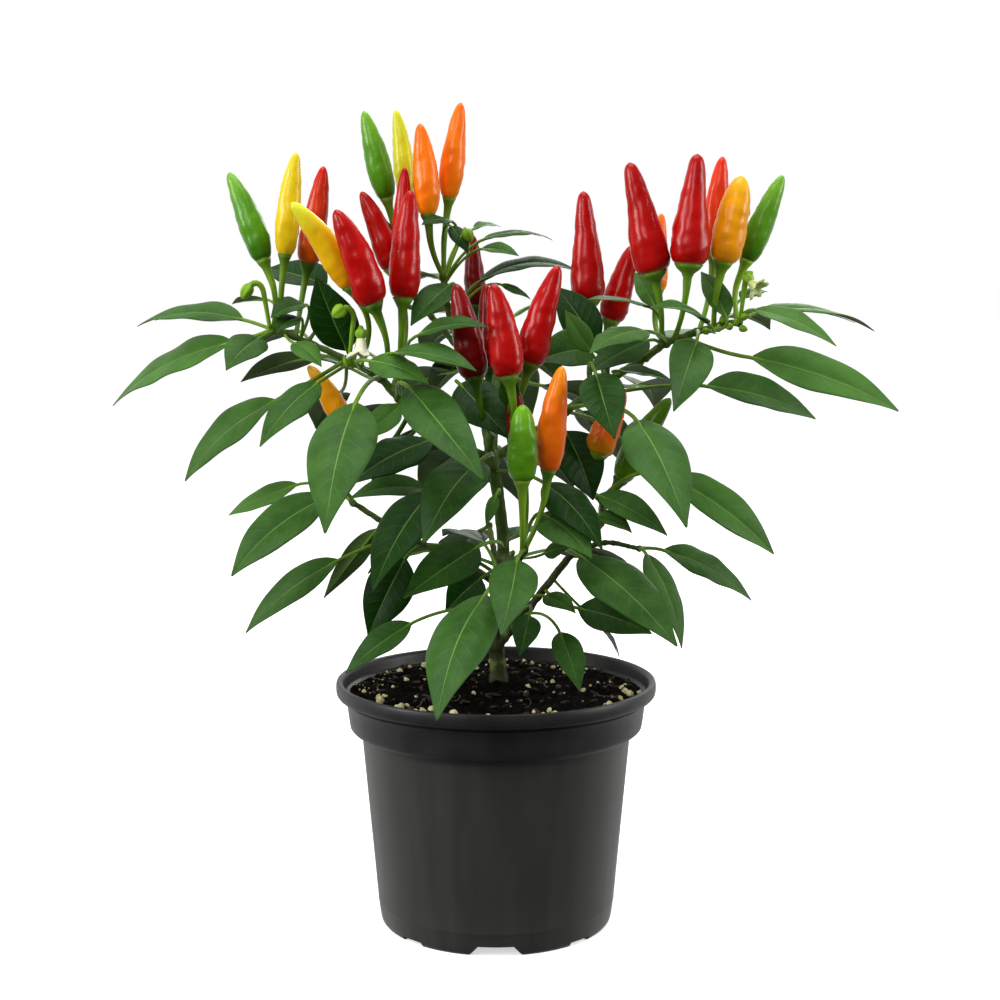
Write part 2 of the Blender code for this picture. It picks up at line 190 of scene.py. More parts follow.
# %% [markdown]
# ## Finishes
# A living surface is never one flat colour, so every material is a small node tree. The helpers
# below add a node, wire it and set its numbers. Patterns read Object coordinates, or numbers that
# the mesh itself carries, so they stay put whichever way the plant is seen.
# %% Helpers for materials
class Finish:
    """A material being put together: a node tree with one Principled shader."""

    SETTINGS = ("operation", "blend_type", "data_type", "attribute_name", "feature", "interpolation_type")

    def __init__(self, name, roughness, **constants):
        self.made = bpy.data.materials.new(name)
        self.made.use_nodes = True
        self.tree = self.made.node_tree
        self.shader = self.tree.nodes["Principled BSDF"]
        self.shader.inputs["Roughness"].default_value = roughness
        for socket, value in constants.items():
            self.shader.inputs[socket.replace("_", " ")].default_value = value

    def node(self, kind, **inputs):
        """Adds a node. A keyword sets a socket, by its name or as i and its place, to a number or to
        another node's output, or else it sets one of the node's own settings."""
        made = self.tree.nodes.new(f"ShaderNode{kind}")
        for name in [name for name in inputs if name in self.SETTINGS]:
            setattr(made, name, inputs.pop(name))
        for name, value in inputs.items():
            by_place = name[0] == "i" and name[1:].isdigit()
            self.set(made.inputs[int(name[1:]) if by_place else name], value)
        return made

    def set(self, socket, value):
        if isinstance(value, bpy.types.NodeSocket):
            self.tree.links.new(value, socket)
        else:
            socket.default_value = value

    def math(self, operation, a, b=0.0, c=0.0):
        return self.node("Math", operation=operation, i0=a, i1=b, i2=c).outputs[0]

    def blend(self, share, a, b, kind="MIX"):
        """A colour mixed from two, by a share."""
        made = self.node("Mix", data_type="RGBA", blend_type=kind)
        self.set(made.inputs[0], share)
        for socket, value in ((made.inputs[6], a), (made.inputs[7], b)):
            self.set(socket, (*value, 1) if isinstance(value, tuple) and len(value) == 3 else value)
        return made.outputs[2]

    def place(self, scale=(1, 1, 1)):
        """Object coordinates, stretched."""
        where = self.node("TexCoord").outputs["Object"]
        return self.node("Mapping", Vector=where, Scale=scale).outputs[0]

    def noise(self, scale, detail=3.0, rough=0.55, stretch=(1, 1, 1)):
        return self.node(
            "TexNoise", Vector=self.place(stretch), Scale=scale, Detail=detail, Roughness=rough
        ).outputs[0]

    def ramp(self, value, low, high):
        """A smooth step from 0 at low to 1 at high."""
        made = self.node("MapRange", interpolation_type="SMOOTHSTEP", Value=value)
        made.inputs["From Min"].default_value = low
        made.inputs["From Max"].default_value = high
        return made.outputs[0]

    def some(self, value, low, high, most):
        """The same step, going no further than most."""
        return self.math("MULTIPLY", self.ramp(value, low, high), most)

    def swing(self, pattern, width, middle=0.0):
        """A pattern from 0 to 1 made to swing by a width about a middle."""
        return self.math("MULTIPLY_ADD", pattern, width, middle - width / 2)

    def number(self, name):
        return self.node("Attribute", attribute_name=name).outputs["Fac"]

    def colour(self, value):
        self.set(self.shader.inputs["Base Color"], value)

    def roughness(self, value):
        self.set(self.shader.inputs["Roughness"], value)

    def bump(self, height, distance, strength=1.0):
        made = self.node("Bump", Height=height, Distance=distance, Strength=strength)
        before = self.shader.inputs["Normal"].links
        if before:
            self.tree.links.new(before[0].from_socket, made.inputs["Normal"])
        self.tree.links.new(made.outputs[0], self.shader.inputs["Normal"])


print("materials are built from", sum(callable(step) for step in vars(Finish).values()), "small steps")

# %% [markdown]
# ## Leaf finish
# A chilli leaf is satin, dark green above and paler below, with a yellow-green midrib and finer side
# veins that leave it at a slant and bend towards the tip. The veins could be painted in an image.
# Here they are worked out from the blade's own UV map, where u runs across and v along, so that they
# follow every bend of the leaf. A number called tone makes young leaves lighter than old ones, and it
# also carries painted shade: leaves deep inside the plant, in the shade of those above, are given low
# tones and so come out darker.
# %% Leaf materials
VEINS = 8.5  # pairs along one blade
VEIN_SLANT = 0.17
VEIN_STEP = 0.42  # how far the veins of one side run ahead of the other's, in pairs


def leaf_finish(name, dark, light, rib, rib_share, roughness):
    made = Finish(name, roughness, Specular_IOR_Level=0.14)
    uv = made.node("TexCoord").outputs["UV"]
    parts = made.node("SeparateXYZ", Vector=uv)
    across = made.math("ABSOLUTE", made.math("MULTIPLY_ADD", parts.outputs[0], 2.0, -1.0))
    along = parts.outputs[1]
    # tone: the leaf's age, young leaves lighter, and painted shade, leaves deep inside the plant darker
    tone = made.number("tone")
    patches = made.noise(90.0, 4.0)
    grain = made.noise(900.0, 2.0)
    shade = made.math("ADD", tone, made.swing(patches, 0.5))
    shade = made.math("ADD", shade, made.swing(grain, 0.16))
    base = made.blend(made.ramp(shade, 0.0, 1.0), dark, light)
    # the midrib narrows to the tip
    width = made.math("MULTIPLY_ADD", along, -0.018, 0.032)
    midrib = made.math("SUBTRACT", 1.0, made.ramp(made.math("DIVIDE", across, width), 0.5, 1.3))
    # side veins: the nearest whole number of a slanted phase, the two sides about half a step apart
    other_side = made.math("GREATER_THAN", parts.outputs[0], 0.5)
    lean = made.math("MULTIPLY", made.math("POWER", across, 1.2), VEIN_SLANT)
    phase = made.math("MULTIPLY", made.math("SUBTRACT", along, lean), VEINS)
    phase = made.math("MULTIPLY_ADD", other_side, VEIN_STEP, phase)
    away = made.math("ABSOLUTE", made.math("SUBTRACT", made.math("FRACT", phase), 0.5))
    side_vein = made.ramp(away, 0.43, 0.5)
    inner = made.math("SUBTRACT", 1.0, made.ramp(across, 0.5, 0.98))
    side_vein = made.math("MULTIPLY", made.math("MULTIPLY", side_vein, inner), 0.08)
    line = made.math("MAXIMUM", made.math("MULTIPLY", midrib, rib_share), side_vein)
    made.colour(made.blend(line, base, rib))
    made.roughness(made.swing(patches, 0.22, roughness))
    net = made.node("TexVoronoi", Vector=made.place(), Scale=700.0, feature="DISTANCE_TO_EDGE")
    made.bump(net.outputs["Distance"], 0.0003, 0.35)
    made.bump(made.math("MULTIPLY", line, -1.0), 0.0003, 0.5)
    return made.made


# each: darkest, lightest and rib colour, how much of the rib shows, roughness
# the darkest upper colour is partly painted shade for the inner leaves; the lightest holds a little painted
# blue-grey sheen of lit leaves
leaf_top = leaf_finish(
    "leaf_upper", (0.005, 0.036, 0.0008), (0.080, 0.210, 0.032), (0.24, 0.40, 0.09), 0.5, 0.45)
leaf_under = leaf_finish(
    "leaf_lower", (0.060, 0.115, 0.032), (0.15, 0.25, 0.065), (0.26, 0.38, 0.12), 0.6, 0.6)

made = Finish("stalk_skin", 0.42, Specular_IOR_Level=0.22)
tint = made.math("ADD", made.number("tone"), made.swing(made.noise(220.0, stretch=(1, 1, 0.2)), 0.5))
tint = made.math("SUBTRACT", tint, made.some(made.number("share"), 0.70, 0.92, 0.16))
made.colour(made.blend(made.ramp(tint, 0, 1), (0.020, 0.075, 0.001), (0.23, 0.44, 0.022)))
made.bump(made.noise(700.0, 2.0, stretch=(1, 1, 0.15)), 0.0002, 0.4)
stalk_green = made.made
print("leaf finishes:", leaf_top.name, leaf_under.name, stalk_green.name)

# %% [markdown]
# ## Chilli finishes
# A ripe chilli is as glossy as wax. Its skin is one colour only from far off: the calyx end is often
# a little behind or ahead of the tip, and faint mottling runs lengthwise. Each finish is therefore
# three colours along the pod, and a number called share says how far along each point is. On the
# green pods the darker calyx end is painted shade, for the shade on their lower part.
# %% Chilli materials
def pod_finish(name, base, middle, tip, mottle):
    made = Finish(name, 0.25, Specular_IOR_Level=0.24, Coat_Weight=0.12, Coat_Roughness=0.2)
    share = made.number("share")
    seam = made.math("SUBTRACT", 1.0, made.ramp(share, 0.02, 0.034))
    drift = made.swing(made.noise(120.0, stretch=(1, 1, 0.4)), 0.3)
    share = made.math("ADD", share, drift)
    lower = made.blend(made.ramp(share, 0.0, 0.38), base, middle)
    skin = made.blend(made.ramp(share, 0.55, 1.0), lower, tip)
    spots = made.noise(260.0, 4.0, stretch=(1, 1, 0.35))
    skin = made.blend(made.ramp(spots, 0.35, 0.75), skin, mottle, "MULTIPLY")
    # a thin pale seam shows where the skin leaves the calyx
    made.colour(made.blend(made.math("MULTIPLY", seam, 0.45), skin, (0.50, 0.36, 0.10)))
    made.roughness(made.math("MULTIPLY_ADD", made.noise(70.0), 0.14, 0.21))
    made.bump(made.noise(260.0, 2.0, stretch=(1, 1, 0.7)), 0.0001, 0.2)
    return made.made


# %% Ripeness
# for each: the colour at the calyx, in the middle and at the tip, the mottling, and its slot
RIPENESS = {
    "red": ((0.40, 0.002, 0.001), (0.48, 0.002, 0.001), (0.42, 0.003, 0.002), (0.80, 0.5, 0.5), "pod_red"),
    "dark_red": (
        (0.10, 0.001, 0.001), (0.19, 0.001, 0.001), (0.24, 0.002, 0.002), (0.8, 0.7, 0.7), "pod_dark_red"),
    "turning_red": (
        (0.66, 0.11, 0.003), (0.62, 0.035, 0.004), (0.55, 0.012, 0.004), (0.85, 0.75, 0.7), "pod_red"),
    "orange_red": (
        (0.85, 0.07, 0.004), (0.80, 0.045, 0.004), (0.72, 0.03, 0.005), (0.9, 0.8, 0.75), "pod_red"),
    "orange": ((0.92, 0.24, 0.002), (0.98, 0.20, 0.002), (0.98, 0.17, 0.003), (0.95, 0.82, 0.7), "pod_orange"),
    "light_orange": (
        (0.80, 0.12, 0.001), (0.96, 0.17, 0.001), (0.98, 0.30, 0.006), (0.95, 0.85, 0.7), "pod_orange"),
    "yellow": ((0.70, 0.47, 0.003), (0.80, 0.57, 0.005), (0.76, 0.60, 0.010), (0.95, 0.9, 0.7), "pod_yellow"),
    "amber": ((0.80, 0.29, 0.001), (0.86, 0.33, 0.001), (0.92, 0.47, 0.006), (0.95, 0.88, 0.7), "pod_yellow"),
    "green_tipped": (
        (0.92, 0.38, 0.002), (0.86, 0.50, 0.003), (0.70, 0.76, 0.030), (0.95, 0.9, 0.75), "pod_yellow"),
    "greenish_yellow": (
        (0.58, 0.54, 0.010), (0.64, 0.59, 0.012), (0.60, 0.62, 0.02), (0.92, 0.92, 0.7), "pod_yellow"),
    # green: the dark colour at the calyx end is painted shade on the lower part of the pod
    "green": ((0.042, 0.155, 0.003), (0.090, 0.29, 0.009), (0.18, 0.42, 0.026), (0.8, 0.86, 0.7), "pod_green"),
    "bright_green": (
        (0.10, 0.28, 0.008), (0.095, 0.28, 0.006), (0.15, 0.40, 0.010), (0.85, 0.9, 0.7), "pod_green"),
    "deep_green": (
        (0.075, 0.185, 0.003), (0.085, 0.21, 0.003), (0.10, 0.25, 0.004), (0.8, 0.85, 0.7), "pod_green"),
    "unripe_orange": (
        (0.50, 0.24, 0.005), (0.85, 0.15, 0.002), (0.80, 0.08, 0.002), (0.9, 0.8, 0.7), "pod_orange"),
}
POD_FINISHES = {name: pod_finish(f"skin_{name}", *row[:4]) for name, row in RIPENESS.items()}
SLOT_OF = {name: row[4] for name, row in RIPENESS.items()}
print(len(POD_FINISHES), "chilli finishes")

# %% [markdown]
# ## Pot, peat and wood finishes
# The pot is injection-moulded black polypropylene: dull, a little dusty, with faint upright streaks
# where water has run and fine rubs from being stacked. Peat is almost black and very rough. The
# trunk is brown and corky at its foot and turns green where the wood is young.
# %% Pot material
made = Finish("pot_black", 0.42, Specular_IOR_Level=0.42)
where = made.place()
height = made.node("SeparateXYZ", Vector=where).outputs[2]
collar = made.ramp(height, 0.0785, 0.0815)
# painted shade: faces above the collar that look inward or downward (the inside of the rim, the undersides of
# the lip and collar) are found here, to be painted almost black below
facing = made.node("NewGeometry").outputs["Normal"]
outward = made.node("VectorMath", operation="DOT_PRODUCT", i0=facing, i1=where).outputs[1]
inside = made.math("SUBTRACT", 1.0, made.ramp(outward, -0.02, 0.015))
streaks = made.noise(160.0, 4.0, stretch=(1, 1, 0.04))
dust = made.noise(45.0, 5.0, 0.65)
rubs = made.some(made.noise(900.0, 5.0, 0.7, stretch=(1, 1, 0.07)), 0.66, 0.74, 0.3)
specks = made.some(made.noise(1500.0, 2.0), 0.77, 0.8, 0.5)
body = made.blend(streaks, (0.030, 0.031, 0.027), (0.056, 0.058, 0.052))
band = made.blend(streaks, (0.012, 0.0122, 0.012), (0.022, 0.0222, 0.022))
base = made.blend(collar, body, band)
# painted shade: the inward- and downward-facing faces above the collar are painted almost black
base = made.blend(made.math("MULTIPLY", inside, collar), base, (0.004, 0.004, 0.0038))
base = made.blend(made.some(dust, 0.45, 0.8, 0.35), base, (0.045, 0.046, 0.042))
base = made.blend(rubs, base, (0.09, 0.09, 0.086))
made.colour(made.blend(specks, base, (0.3, 0.29, 0.26)))
made.roughness(made.math("MULTIPLY_ADD", streaks, 0.2, 0.34))
made.bump(made.noise(1400.0), 0.00005, 0.5)
made.bump(streaks, 0.0002, 0.25)
pot_plastic = made.made
print("made", pot_plastic.name)

# %% Soil and grain materials
made = Finish("peat_black", 0.95, Specular_IOR_Level=0.04)
crumbs = made.noise(500.0, 6.0, 0.7)
moss = made.some(made.noise(55.0), 0.56, 0.7, 0.3)
base = made.blend(made.ramp(crumbs, 0.3, 0.75), (0.0005, 0.0004, 0.0003), (0.0062, 0.0040, 0.0022))
made.colour(made.blend(moss, base, (0.006, 0.010, 0.003)))
made.bump(crumbs, 0.0012, 0.9)
peat = made.made

made = Finish("perlite_white", 0.8, Specular_IOR_Level=0.3)
tint = made.noise(380.0, 4.0)
base = made.blend(made.ramp(tint, 0.35, 0.7), (0.40, 0.35, 0.15), (0.76, 0.70, 0.42))
dirt = made.some(made.noise(1100.0), 0.55, 0.72, 0.6)
made.colour(made.blend(dirt, base, (0.06, 0.05, 0.02)))
made.bump(tint, 0.0005, 0.7)
perlite_white = made.made

made = Finish("bark_brown", 0.8, Specular_IOR_Level=0.3)
tint = made.ramp(made.noise(300.0, 5.0, 0.7), 0.3, 0.7)
made.colour(made.blend(tint, (0.004, 0.0025, 0.0012), (0.032, 0.018, 0.009)))
made.bump(made.noise(900.0, 4.0), 0.0005, 0.8)
bark_brown = made.made

made = Finish("root_pale", 0.7, Specular_IOR_Level=0.3)
tint = made.noise(400.0)
made.colour(made.blend(tint, (0.03, 0.02, 0.010), (0.16, 0.12, 0.07)))
made.bump(tint, 0.0003, 0.6)
root_pale = made.made
print("made", peat.name, perlite_white.name, bark_brown.name, root_pale.name)

# %% Wood and petal materials
made = Finish("stem_wood", 0.58, Specular_IOR_Level=0.25)
height = made.node("SeparateXYZ", Vector=made.place()).outputs[2]
fibre = made.noise(650.0, 4.0, 0.65, stretch=(1, 1, 0.08))
blotch = made.noise(110.0, 4.0)
rise = made.math("MULTIPLY_ADD", blotch, 0.05, made.math("SUBTRACT", height, 0.025))
wood = made.blend(fibre, (0.007, 0.011, 0.001), (0.045, 0.058, 0.012))
young = made.blend(fibre, (0.026, 0.062, 0.003), (0.095, 0.175, 0.020))
mixed = made.blend(made.ramp(rise, 0.11, 0.20), wood, young)
made.colour(made.blend(made.some(blotch, 0.52, 0.66, 0.6), mixed, (0.16, 0.22, 0.04)))
made.bump(fibre, 0.0006, 0.7)
stem_wood = made.made

made = Finish("petal_white", 0.5, Specular_IOR_Level=0.35)
share = made.math("ADD", made.number("share"), made.swing(made.noise(500.0), 0.3))
made.colour(made.blend(made.ramp(share, 0.1, 0.9), (0.45, 0.58, 0.14), (0.86, 0.86, 0.66)))
made.bump(made.noise(1200.0), 0.0002, 0.4)
petal_white = made.made
print(len(bpy.data.materials), "materials in all")

# %% [markdown]
# ## The pot
# A nursery pot is moulded in one go: a tapered wall, a wider collar that lets pots stack, a rolled
# lip, and a foot with notches so that water can drain away. Its wall could be lofted ring by ring,
# but it is round, so one outline is drawn point by point with Extrude and swept round with Spin.
# %% Turn the pot from its outline
def turned(name, outline, steps):
    """A closed shell: an outline of (radius, height) points, drawn by extruding and then spun."""
    nothing()
    bpy.ops.mesh.primitive_circle_add(vertices=3, radius=MM, location=(0, 0, 0))
    made = bpy.context.active_object
    made.name = name
    edit(made)
    everything()
    bpy.ops.mesh.merge(type="CENTER")
    here = Vector((0, 0, 0))
    first = Vector((outline[0][0], 0, outline[0][1])) * MM
    bpy.ops.transform.translate(value=first - here)
    here = first
    for radius, z in outline[1:]:
        there = Vector((radius, 0, z)) * MM
        bpy.ops.mesh.extrude_region_move(TRANSFORM_OT_translate={"value": there - here})
        here = there
    everything()
    bpy.ops.mesh.spin(steps=steps, angle=2 * math.pi, center=(0, 0, 0), axis=(0, 0, 1))
    everything()
    bpy.ops.mesh.remove_doubles(threshold=0.01 * MM)
    bpy.ops.mesh.normals_make_consistent(inside=False)
    done()
    return made


pot_inside = [
    (0.0, 6.2), (30.0, 6.2), (44.2, 6.2), (45.4, 6.9), (46.0, 8.4), (49.0, 37.0), (53.0, 77.6), (53.6, 80.2),
    (54.6, 81.4), (57.3, 82.2), (57.8, 82.8), (58.0, 84.0), (58.9, 92.2), (59.6, 94.1), (61.2, 94.9),
    (61.6, 96.2), (61.9, 98.2),
]
pot_outside = [
    (62.2, 99.0), (62.9, 99.7), (63.9, 100.0), (64.6, 99.6), (64.95, 98.6), (65.0, 97.0), (64.95, 95.9),
    (64.75, 94.9), (64.2, 94.2), (62.9, 93.9), (61.5, 93.75), (61.2, 93.4), (61.15, 92.7), (61.4, 92.5),
    (61.4, 92.1), (61.1, 91.9), (60.75, 91.4), (60.1, 86.6),
    (59.6, 82.6), (59.3, 81.2), (58.7, 80.5), (57.6, 80.15), (55.9, 79.7), (55.2, 79.2), (54.9, 78.6),
    (54.6, 77.4), (52.9, 58.6), (51.2, 40.0), (49.5, 21.5), (48.45, 9.6), (48.5, 9.2), (48.35, 8.8),
    (48.2, 7.6), (47.6, 3.0), (47.3, 1.6), (46.9, 0.8), (46.5, 0.3), (46.1, 0.0), (44.6, 0.0), (43.8, 0.0),
    (43.6, 0.4), (43.4, 4.2), (30.0, 4.2), (0.0, 4.2),
]
pot = turned("pot", pot_inside + pot_outside, 144)
print("pot:", len(pot.data.polygons), "faces,", round(max(v.co.z for v in pot.data.vertices) / MM), "mm high")

# %% [markdown]
# The foot has four wide notches and four low slits between them, and the floor has six holes. They
# could be cut face by face, but a Boolean with a shaped cutter gives clean edges on a round wall.
# %% Cut the notches, slits and drain holes
FOOT_RADIUS, FOOT_DEPTH = 47.0, 4.5
# half the width at the cutter's underside, at its top, and the height of the opening
NOTCH = (12.25, 7.0, 4.0)
SLIT = (5.5, 5.2, 1.8)
DRAINS, DRAIN_CIRCLE, DRAIN_RADIUS = 6, 26.0, 4.5


def wedge(half_low, half_top, height, turn):
    """A cutter: a shape of four corners, extruded through the foot ring at one heading. It starts
    below the ground, so that it cuts the foot's underside cleanly."""
    nothing()
    bpy.ops.mesh.primitive_plane_add(size=MM, location=(0, 0, 0))
    made = bpy.context.active_object
    corners = ((-half_low, -2), (half_low, -2), (-half_top, height), (half_top, height))
    for vertex, (x, z) in zip(made.data.vertices, corners):
        vertex.co = Vector((x, -FOOT_RADIUS - FOOT_DEPTH, z)) * MM
    edit(made)
    everything()
    bpy.ops.mesh.extrude_region_move(TRANSFORM_OT_translate={"value": (0, 2 * FOOT_DEPTH * MM, 0)})
    everything()
    bpy.ops.mesh.normals_make_consistent(inside=False)
    done()
    made.data.transform(Matrix.Rotation(math.radians(turn), 4, "Z"))
    return made


def cut(piece, cutter):
    applied(piece, "BOOLEAN", operation="DIFFERENCE", solver="EXACT", object=cutter)
    bpy.data.objects.remove(cutter)


for quarter in range(4):
    cut(pot, wedge(*NOTCH, 90 * quarter))
    cut(pot, wedge(*SLIT, 90 * quarter + 45))
for hole in range(DRAINS):
    turn = 2 * math.pi * (hole + 0.5) / DRAINS
    x, y = DRAIN_CIRCLE * math.cos(turn), DRAIN_CIRCLE * math.sin(turn)
    nothing()
    bpy.ops.mesh.primitive_cylinder_add(
        vertices=32, radius=DRAIN_RADIUS * MM, depth=8 * MM, location=(x * MM, y * MM, 5 * MM))
    cut(pot, bpy.context.active_object)
only(coated(pot, pot_plastic))
bpy.ops.object.shade_smooth_by_angle(angle=math.radians(34))
print("pot with openings:", len(pot.data.polygons), "faces")

# %% [markdown]
# ## The soil
# Potting mix is peat crumbs, and it is never flat: it is heaped a little round the trunk and drops
# at the wall. The block is turned from an outline like the pot, with many rings on its top, and the
# rings are then lifted and lowered by layers of noise. Its underside shows in the drain holes.
# %% Heap the soil
TRUNK = Vector((1, 9, 0))
SOIL_LEVEL = 95.0
SOIL_REACH = 59.0  # grains and threads keep within this radius


def soil_height(x, y):
    """The soil's surface above the bench, mm."""
    radius = math.hypot(x, y)
    mound = 1.6 * math.exp(-((Vector((x, y, 0)) - TRUNK).length / 12) ** 2)
    fall = 1.6 * max(0, (radius - 50) / 10) ** 2
    clods = 1.5 * noise.noise((x * 0.13, y * 0.13, 3.1)) + 1.1 * noise.noise((x * 0.33, y * 0.33, 8.7))
    crumbs = 0.9 * abs(noise.noise((x * 0.8, y * 0.8, 1.3))) + 0.45 * noise.noise((x * 1.9, y * 1.9, 4.4))
    return SOIL_LEVEL + mound - fall + clods + crumbs


top_rings = [(0.0, 97.0)] + [(0.4 + 0.78 * i, 96.0) for i in range(77)]
soil_side = [(60.4, 93.6), (58.5, 91.4), (57.65, 84.0), (56.95, 82.55), (53.25, 80.55), (52.65, 77.6)]
soil_under = [(45.6, 8.8), (43.8, 6.6), (36.0, 6.55), (26.0, 6.55), (16.0, 6.55), (0.0, 6.55)]
soil = turned("soil", top_rings + soil_side + soil_under, 220)
for vertex in soil.data.vertices:
    x, y, z = vertex.co / MM
    if z > SOIL_LEVEL - 0.5:
        vertex.co.z = soil_height(x, y) * MM
smooth(coated(soil, peat))
print("soil:", len(soil.data.polygons), "faces")

# %% [markdown]
# Perlite grains, bark chips and root threads lie on the peat. Each kind is modelled once, as a small
# bevelled lump, and copied with its own size and turn. A particle system could scatter them, but a
# seeded loop gives the same soil on every run, and lets more perlite gather near the wall, where
# watering has washed it.
# %% Perlite and bark
def lump(name, seed, shape, rough):
    """A small stone: a cube with its edges bevelled and its corners pushed about."""
    nothing()
    bpy.ops.mesh.primitive_cube_add(size=MM, location=(0, 0, 0))
    made = bpy.context.active_object
    edit(made)
    everything()
    bpy.ops.mesh.bevel(offset=0.27 * MM, segments=1, affect="EDGES")
    done()
    draw = random.Random(seed)
    for vertex in made.data.vertices:
        vertex.co = Vector(c * s * draw.uniform(1 - rough, 1 + rough) for c, s in zip(vertex.co, shape))
    made.name = name
    return made


def strewn(name, templates, places, finish):
    """Copies of a few small shapes, each with its place, size and turn, joined into one piece."""
    pieces = []
    for i, (spot, size, turns) in enumerate(places):
        made = copy_of(templates[i % len(templates)], f"{name}_{i}")
        roll, pitch, yaw = (Matrix.Rotation(turn, 4, axis) for turn, axis in zip(turns, "XYZ"))
        made.data.transform(Matrix.Translation(spot * MM) @ (yaw @ pitch @ roll) @ Matrix.Scale(size, 4))
        pieces.append(coated(made, finish))
    made = joined(name, pieces)
    for template in templates:
        bpy.data.objects.remove(template)
    return smooth(made)


def on_soil(draw, inner, outer, sink):
    """A random place on the soil between two radii, clear of the trunk."""
    while True:
        turn, radius = draw.uniform(0, 2 * math.pi), math.sqrt(draw.uniform(inner**2, outer**2))
        x, y = radius * math.cos(turn), radius * math.sin(turn)
        if (Vector((x, y, 0)) - TRUNK).length > 7:
            return Vector((x, y, soil_height(x, y) + sink))


GRAINS, CHIPS = 165, 150
# the biggest grains lie near the wall: heading, distance from the middle and size of each
BIG_GRAINS = (
    (-1.15, 54, 3.9), (-0.55, 52, 3.4), (-1.9, 50, 3.5), (-0.2, 55, 3.2), (2.2, 52, 3.6), (-2.6, 53, 3.3),
)
draw = random.Random(7)
grains = [lump(f"grain_{i}", 20 + i, (1.0, 0.85, 0.75), 0.28) for i in range(4)]
places = []
for i in range(GRAINS):
    size = 0.7 + 2.3 * draw.random() ** 2.6
    ring = (46, SOIL_REACH) if i % 2 else (8, SOIL_REACH - 1)
    spot = on_soil(draw, *ring, size * 0.22)
    places.append((spot, size, [draw.uniform(0, 6.3) for _ in range(3)]))
for turn, radius, size in BIG_GRAINS:
    x, y = radius * math.cos(turn), radius * math.sin(turn)
    places.append((Vector((x, y, soil_height(x, y) + 0.8)), size, [draw.uniform(0, 6.3) for _ in range(3)]))
perlite = strewn("perlite", grains, places, perlite_white)

chips = [lump(f"chip_{i}", 40 + i, (2.4, 1.0, 0.5), 0.25) for i in range(3)]
places = []
for _ in range(CHIPS):
    spot, size = on_soil(draw, 5, SOIL_REACH - 1, 0.25), draw.uniform(0.8, 2.3)
    places.append((spot, size, [draw.uniform(-0.5, 0.5), draw.uniform(-0.5, 0.5), draw.uniform(0, 6.3)]))
bark = strewn("bark_chips", chips, places, bark_brown)
print("perlite:", len(perlite.data.polygons), "faces; bark:", len(bark.data.polygons), "faces")

# %% [markdown]
# ## A straight stalk to bend
# Petioles, flower stalks, twigs and roots are all thin tapering rods. One straight rod is modelled:
# a cylinder whose upright edges are subdivided into rings. Each copy is then carried onto its own
# line, ring by ring. A Curve modifier could do this, but carrying the points in code keeps a rod's
# thickness exact and lets it swell where it joins.
# %% The rod and how it is carried
RINGS, SIDES = 20, 12


def rod_template(name, sides, rings):
    """A straight rod, 1 long and 1 in radius, standing on the origin, cut into rings."""
    nothing()
    bpy.ops.mesh.primitive_cylinder_add(vertices=sides, radius=1, depth=1, location=(0, 0, 0.5))
    made = bpy.context.active_object
    made.name = name
    made.data.transform(Matrix.Translation((0, 0, 0.5)))
    made.location = (0, 0, 0)
    edit(made)
    bpy.ops.mesh.select_mode(type="EDGE")
    done()
    for edge in made.data.edges:
        a, b = (made.data.vertices[i].co for i in edge.vertices)
        edge.select = abs(a.z - b.z) > 0.5
    bpy.ops.object.mode_set(mode="EDIT")
    bpy.ops.mesh.subdivide(number_cuts=rings - 1)
    bpy.ops.mesh.select_all(action="DESELECT")
    bpy.ops.mesh.select_mode(type="VERT")
    done()
    return made


def scale_rows(piece, axis, rows, widths):
    """Scales each row of points, found by its place along one axis, about that axis."""
    for row, wide in zip(rows, widths):
        edit(piece)
        done()
        for vertex in piece.data.vertices:
            vertex.select = abs(vertex.co[axis] - row) < 2e-4
        bpy.ops.object.mode_set(mode="EDIT")
        centre = [0, 0, 0]
        centre[axis] = row
        size = [wide, wide, wide]
        size[axis] = 1
        bpy.ops.transform.resize(value=size, center_override=centre)
        done()


def frames_along(points, hint):
    """Each point's direction and two directions square to it, turning as little as they can."""
    frames, side = [], None
    for i in range(len(points)):
        tangent = (points[min(i + 1, len(points) - 1)] - points[max(i - 1, 0)]).normalized()
        if side is None:
            side = tangent.cross(hint)
            if side.length < 0.05:
                side = tangent.orthogonal()
        side = (side - tangent * side.dot(tangent)).normalized()
        frames.append((tangent, side, side.cross(tangent)))
    return frames


def resampled(points, count):
    """The same line with its points evenly spaced."""
    lengths = [0.0]
    for a, b in zip(points, points[1:]):
        lengths.append(lengths[-1] + (b - a).length)
    made, at = [], 0
    for i in range(count):
        goal = lengths[-1] * i / (count - 1)
        while at < len(points) - 2 and lengths[at + 1] < goal:
            at += 1
        step = lengths[at + 1] - lengths[at] or 1e-9
        made.append(points[at].lerp(points[at + 1], min(1, max(0, (goal - lengths[at]) / step))))
    return made


def carried(template, name, line, radius_at, hint=Vector((0, 0, 1)), ripple=None):
    """A copy of a straight shape carried onto a line. radius_at gives the radius at a share of it."""
    points = resampled(line, RINGS + 1)
    frames = frames_along(points, hint)
    made = copy_of(template, name)
    for vertex in made.data.vertices:
        x, y, z = vertex.co
        share = min(1.0, max(0.0, z))
        at = share * RINGS
        low = min(RINGS - 1, int(at))
        point = points[low].lerp(points[low + 1], at - low)
        _, side, up = frames[min(RINGS, round(at))]
        radius = radius_at(share)
        if ripple:
            radius *= ripple(math.atan2(y, x), share)
        vertex.co = (point + (side * x + up * y) * radius) * MM
    return made


rod = rod_template("rod", SIDES, RINGS)
marked(rod, "share", lambda co: co.z)
print("rod:", len(rod.data.vertices), "points in", RINGS, "rings")

